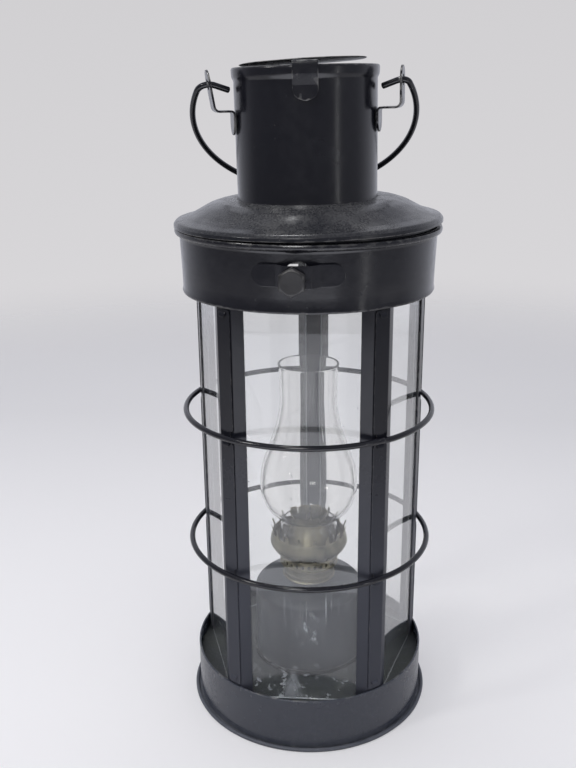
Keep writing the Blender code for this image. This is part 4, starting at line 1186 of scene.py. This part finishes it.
def build_burner():
    base = [(13.9, 94.6), (14.9, 94.6), (15.0, 95.0), (15.0, 103.9), (21.2, 103.95), (21.75, 104.2),
            (21.75, 104.5),
            (21.2, 104.75), (13.9, 104.75)]
    make("burner_foot", lathe(base, SMALL_ROUND), BRASS, "burner", ["burner_base"])

    levels = [(21.5, 105.1), (21.6, 106.3), (21.7, 106.9), (21.7, 109.7), (21.6, 110.3), (21.5, 112.0)]
    screen = grid_round(levels, 120, lambda column, row: row not in (2,) or column % 4 in (0, 1))
    solid_sheet(screen, 0.5)
    screen = make("air_grille", screen, BRASS, "burner", ["air_screen"])
    cut(screen, lathe([(0.0, 15.0), (1.6, 15.0), (1.6, 27.0), (0.0, 27.0)], 24),
        WINDER)

    bowl = spline([(20.7, 112.3), (22.6, 112.7), (25.0, 115.0), (27.4, 118.4), (28.5, 121.2),
                   (28.3, 123.6), (27.4, 127.0),
                   (26.6, 130.0), (26.7, 132.6), (27.8, 136.4)], 3)
    rows = len(bowl) - 1
    leaves = 16
    per = 12

    def leaf(column, row, angle, radius, height):
        share = row / rows
        place = (column % per) / per
        if share > 0.72:
            rise = (share - 0.72) / 0.28
            lean = sin(column // per * 2.7)
            angle += (0.5 - place) * 0.62 * rise * tau / leaves + 0.02 * lean * rise
            radius += 0.5 * cos(column // per * 1.7) * rise
            height -= (0.8 + 1.1 * (0.5 + 0.5 * lean)) * rise
        return angle, radius, height

    def metal_cell(column, row):
        share = row / rows
        beat = column % per
        if share > 0.72:
            return beat in (4, 5, 6, 7)
        return not (0.14 < share < 0.26 and beat in (5, 6, 7))

    gallery = grid_round([tuple(point) for point in bowl], leaves * per, metal_cell, leaf)
    solid_sheet(gallery, 0.42)
    make("gallery", gallery, BRASS, "burner", ["burner_gallery"])

    seat = [(16.2, 116.85), (24.3, 116.85), (24.5, 117.1), (24.3, 117.35), (16.2, 117.35)]
    make("glass_seat", lathe(seat, SMALL_ROUND), BRASS, "burner", ["chimney_seat"])

    crown = spline([(18.9, 118.3), (18.3, 120.5), (16.9, 124.2), (15.1, 128.4), (13.7, 132.0),
                    (12.9, 135.4), (12.6, 138.4),
                    (12.9, 141.2), (13.6, 143.6)], 3)
    crown_rows = len(crown) - 1
    petals = 8
    petal_columns = 12

    def petal(column, row, angle, radius, height):
        share = row / crown_rows
        place = (column % petal_columns) / petal_columns - 0.458
        if share > 0.72:
            rise = (share - 0.72) / 0.28
            height -= 1.8 * rise * (2 * place) ** 2
            height += 0.5 * rise * sin(column // petal_columns * 2.4)
            radius += 0.4 * rise * cos(column // petal_columns * 1.9)
        return angle, radius, height

    cone = grid_round([tuple(point) for point in crown], petals * petal_columns,
                      lambda column, row: row / crown_rows < 0.72
                      or column % petal_columns not in (petal_columns - 1,), petal)
    solid_sheet(cone, 0.4)
    make("flame_crown", cone, BRASS, "burner", ["flame_cone"])

    def oblong(half_x, half_y, corner):
        return rounded([(-half_x, -half_y, corner), (half_x, -half_y, corner), (half_x, half_y, corner),
                        (-half_x, half_y, corner)], 4)

    sleeve = loft(oblong(2.1, 7.1, 1.0), spread(97.4, 139.9, 6))
    disc = lathe([(0.0, 105.15), (20.2, 105.15), (20.35, 105.5), (20.2, 105.8), (0.0, 105.8)], SMALL_ROUND)
    holder = make("wick_holder", join(sleeve, disc), BRASS, "burner", ["wick_tube"])
    cut(holder, loft(oblong(1.6, 6.6, 0.6), (90.0, 145.0)))
    window = bmesh.new()
    bmesh.ops.create_cube(window, size=1.0)
    bmesh.ops.scale(window, vec=(3.0, 10.4, 6.8), verts=window.verts)
    cut(holder, window, move(2.3, 0, 110.3))

    blade = loft(oblong(1.15, 6.15, 0.5), spread(36.1, 140.6, 30),
                 lambda spot: Vector((spot.x, spot.y * (0.985 + 0.015 * sin(spot.z * 1.3)), spot.z)))
    make("wick_strip", blade, WICK, "wick", ["wick"])

    rod = [(0.0, -7.4), (0.9, -7.4), (0.95, -4.4)]
    for start, end in ((-4.4, -2.6), (2.6, 4.4)):
        rod += [(2.3, start), (2.3, end), (0.95, end)]
        if start < 0:
            rod.append((0.95, 2.6))
    rod += [(0.95, 32.6), (0.0, 32.6)]
    parts = [lathe(rod, 24)]
    for start in (-4.3, 2.7):
        points = []
        for tooth in range(12):
            for radius, turn in ((2.2, -11.0), (3.1, -3.0), (3.1, 3.0), (2.2, 11.0)):
                angle = radians(30 * tooth + turn)
                points.append((radius * cos(angle), radius * sin(angle)))
        parts.append(loft(points, (start, start + 1.6)))
    lay = WINDER
    make("winder_rod", join(*parts), STEEL, "wick_winder", ["wick_shaft"], lay)
    knurl = []
    for step in range(144):
        angle = tau * step / 144
        radius = 7.95 - (0.35 if step % 4 in (1, 2) else 0.0)
        knurl.append((radius * cos(angle), radius * sin(angle)))
    knob = loft(knurl, (33.05, 33.4, 34.7, 36.1, 36.45),
                lambda spot: Vector((spot.x * (0.93 if spot.z in (33.05, 36.45) else 1.0),
                                     spot.y * (0.93 if spot.z in (33.05, 36.45) else 1.0), spot.z)))
    make("winder_knob", knob, BRASS_BRIGHT, "wick_winder", ["wick_knob"], lay)


def build_glass():
    face = spline([(21.55, 118.2), (21.6, 122.0), (21.65, 128.0), (21.4, 133.5), (20.6, 136.8),
                   (20.2, 138.7),
                   (21.4, 141.0), (26.8, 145.7), (32.1, 152.2), (35.1, 160.5), (35.85, 168.0),
                   (34.4, 182.0), (29.5, 197.0), (24.0, 213.0), (20.95, 229.0), (20.75, 241.0),
                   (21.0, 252.0), (21.95, 260.2)], 6)
    outline = sheet_outline(face, 1.45, 3)
    make("lamp_chimney", lathe(outline, SMALL_ROUND), LAMP_GLASS, "glass", ["glass_chimney"])


build_base()
build_cage()
build_band()
build_lock()
build_hood()
build_bail()
build_tank()
build_burner()
build_glass()


# ---------------------------------------------------------------- studio, in metres

def plain_view(t):
    """1 for what is seen directly or through glass, 0 for what is mirrored or lights something."""
    path = t.add("ShaderNodeLightPath")
    straight = t.math("MAXIMUM", path.outputs["Is Camera Ray"], path.outputs["Is Transmission Ray"])
    bounced = t.plus(path.outputs["Glossy Depth"], path.outputs["Diffuse Depth"])
    return t.times(straight, t.math("SUBTRACT", 1.0, t.times(t.math("MINIMUM", bounced, 1.0), 0.4)))


def build_floor():
    bm = bmesh.new()
    rings = []
    radii = [0.0001, 0.3, 0.6, 0.9, 1.3, 1.8, 2.4]
    for radius in radii:
        rings.append([bm.verts.new((radius * cos(tau * k / 96), radius * sin(tau * k / 96), 0.0))
                      for k in range(96)])
    for near, far in zip(rings, rings[1:]):
        for k in range(96):
            bm.faces.new((near[k], near[(k + 1) % 96], far[(k + 1) % 96], far[k]))
    bmesh.ops.remove_doubles(bm, verts=bm.verts, dist=0.001)
    face_outwards(bm)
    mesh = bpy.data.meshes.new("floor")
    bm.to_mesh(mesh)
    bm.free()
    t = material_tree("floor_paper")
    far = t.add("ShaderNodeVectorMath", {0: t.coords}, operation="LENGTH").outputs["Value"]
    tone = t.blend(t.noise(3.0, 4.0), (0.585, 0.58, 0.595), (0.615, 0.61, 0.625))
    glow = t.times(plain_view(t), t.band(t.axis(t.coords, 1), -0.05, 0.6, 0.33, 0.19))
    mirrored = t.add("ShaderNodeLightPath").outputs["Is Glossy Ray"]
    glow = t.math("MAXIMUM", glow, t.times(mirrored, 0.2))
    paper = t.add("ShaderNodeBsdfPrincipled", {"Base Color": tone, "Roughness": 0.8, "IOR": 1.3,
                                               "Emission Color": (1.0, 0.99, 1.01, 1.0),
                                               "Emission Strength": glow})
    clear = t.add("ShaderNodeBsdfTransparent")
    share = t.add("ShaderNodeMapRange", {"Value": far, "From Min": 0.75, "From Max": 1.8},
                  interpolation_type="SMOOTHERSTEP")
    shader = t.add("ShaderNodeMixShader", {0: share.outputs[0], 1: paper.outputs[0], 2: clear.outputs[0]})
    mesh.materials.append(t.done(shader.outputs[0]))
    floor = bpy.data.objects.new("floor", mesh)
    bpy.context.collection.objects.link(floor)


def build_world():
    world = bpy.data.worlds.new("studio")
    bpy.context.scene.world = world
    t = Tree(world)
    way = t.add("ShaderNodeTexCoord").outputs["Generated"]
    side = t.plus(t.band(t.axis(way, 1), 0.0, 0.85, 0.20, 0.80), t.band(t.axis(way, 0), 0.2, 0.9, 0.0, 0.15))
    overhead = t.band(t.axis(way, 2), 0.25, 0.85)
    level = t.plus(t.times(side, t.math("SUBTRACT", 1.0, overhead)), t.times(overhead, 0.36))
    around = t.add("ShaderNodeBackground", {"Color": (0.93, 0.945, 1.05, 1.0), "Strength": level})
    height = t.band(t.axis(way, 2), -0.3, 0.35, 0.70, 0.60)
    seen = t.add("ShaderNodeBackground", {"Color": (1.0, 0.985, 1.01, 1.0), "Strength": height})
    mix = t.add("ShaderNodeMixShader", {0: plain_view(t), 1: around.outputs[0], 2: seen.outputs[0]})
    t.done(mix.outputs[0], "ShaderNodeOutputWorld")


def soft_light(name, where, aim, width, height, power, hidden=(), tone=(1.0, 1.0, 1.0)):
    """Rectangular soft lamp, never seen by the camera; hidden names the kinds of ray that miss it."""
    data = bpy.data.lights.new(name, "AREA")
    data.shape = "RECTANGLE"
    data.size = width
    data.size_y = height
    data.energy = power
    data.color = tone
    made = bpy.data.objects.new(name, data)
    made.location = where
    made.rotation_euler = (Vector(aim) - Vector(where)).to_track_quat("-Z", "Y").to_euler()
    made.visible_camera = False
    for kind in hidden:
        setattr(made, "visible_" + kind, False)
    bpy.context.collection.objects.link(made)


def build_camera():
    pitch = radians(18.058)
    yaw = radians(-1.383)
    roll = radians(-0.586)
    forward = Vector((sin(yaw) * cos(pitch), cos(yaw) * cos(pitch), -sin(pitch)))
    right = Vector((cos(yaw), -sin(yaw), 0.0))
    up = right.cross(forward)
    right, up = (right * cos(roll) + up * sin(roll), up * cos(roll) - right * sin(roll))
    turn = Matrix((right, up, -forward)).transposed().to_4x4()
    data = bpy.data.cameras.new("camera")
    data.lens = 41.76
    data.sensor_width = 36.0
    made = bpy.data.objects.new("camera", data)
    made.matrix_world = about_z(3.0) @ Matrix.Translation((0.0, -0.60667, 0.44239)) @ turn
    bpy.context.collection.objects.link(made)
    bpy.context.scene.camera = made


build_floor()
build_world()
soft_light("overhead", (-0.15, -0.1, 1.9), (0.0, 0.0, 0.0), 1.6, 1.6, 17.0,
           hidden=("glossy", "transmission"))
soft_light("key", (-1.0, -0.65, 1.15), (0.0, 0.0, 0.2), 0.22, 0.22, 4.0, tone=(1.0, 0.985, 0.96))
soft_light("top_spot", (-0.22, -0.05, 1.70), (0.0, -0.07, 0.37), 0.22, 0.22, 5.5, hidden=("diffuse",))
soft_light("front_spot", (-0.21, -1.30, 1.00), (0.0, 0.0, 0.15), 0.36, 0.36, 6.0, hidden=("diffuse",))
soft_light("side_panel", (0.95, -0.74, 0.30), (0.0, 0.0, 0.30), 0.03, 0.70, 0.4)
soft_light("front_card", (0.0, -0.725, 0.003), (0.0, -0.725, 1.0), 1.0, 0.93, 4.2,
           hidden=("diffuse", "transmission"),
           tone=(0.95, 0.97, 1.06))
build_camera()


bpy.context.scene.view_settings.view_transform = "Standard"
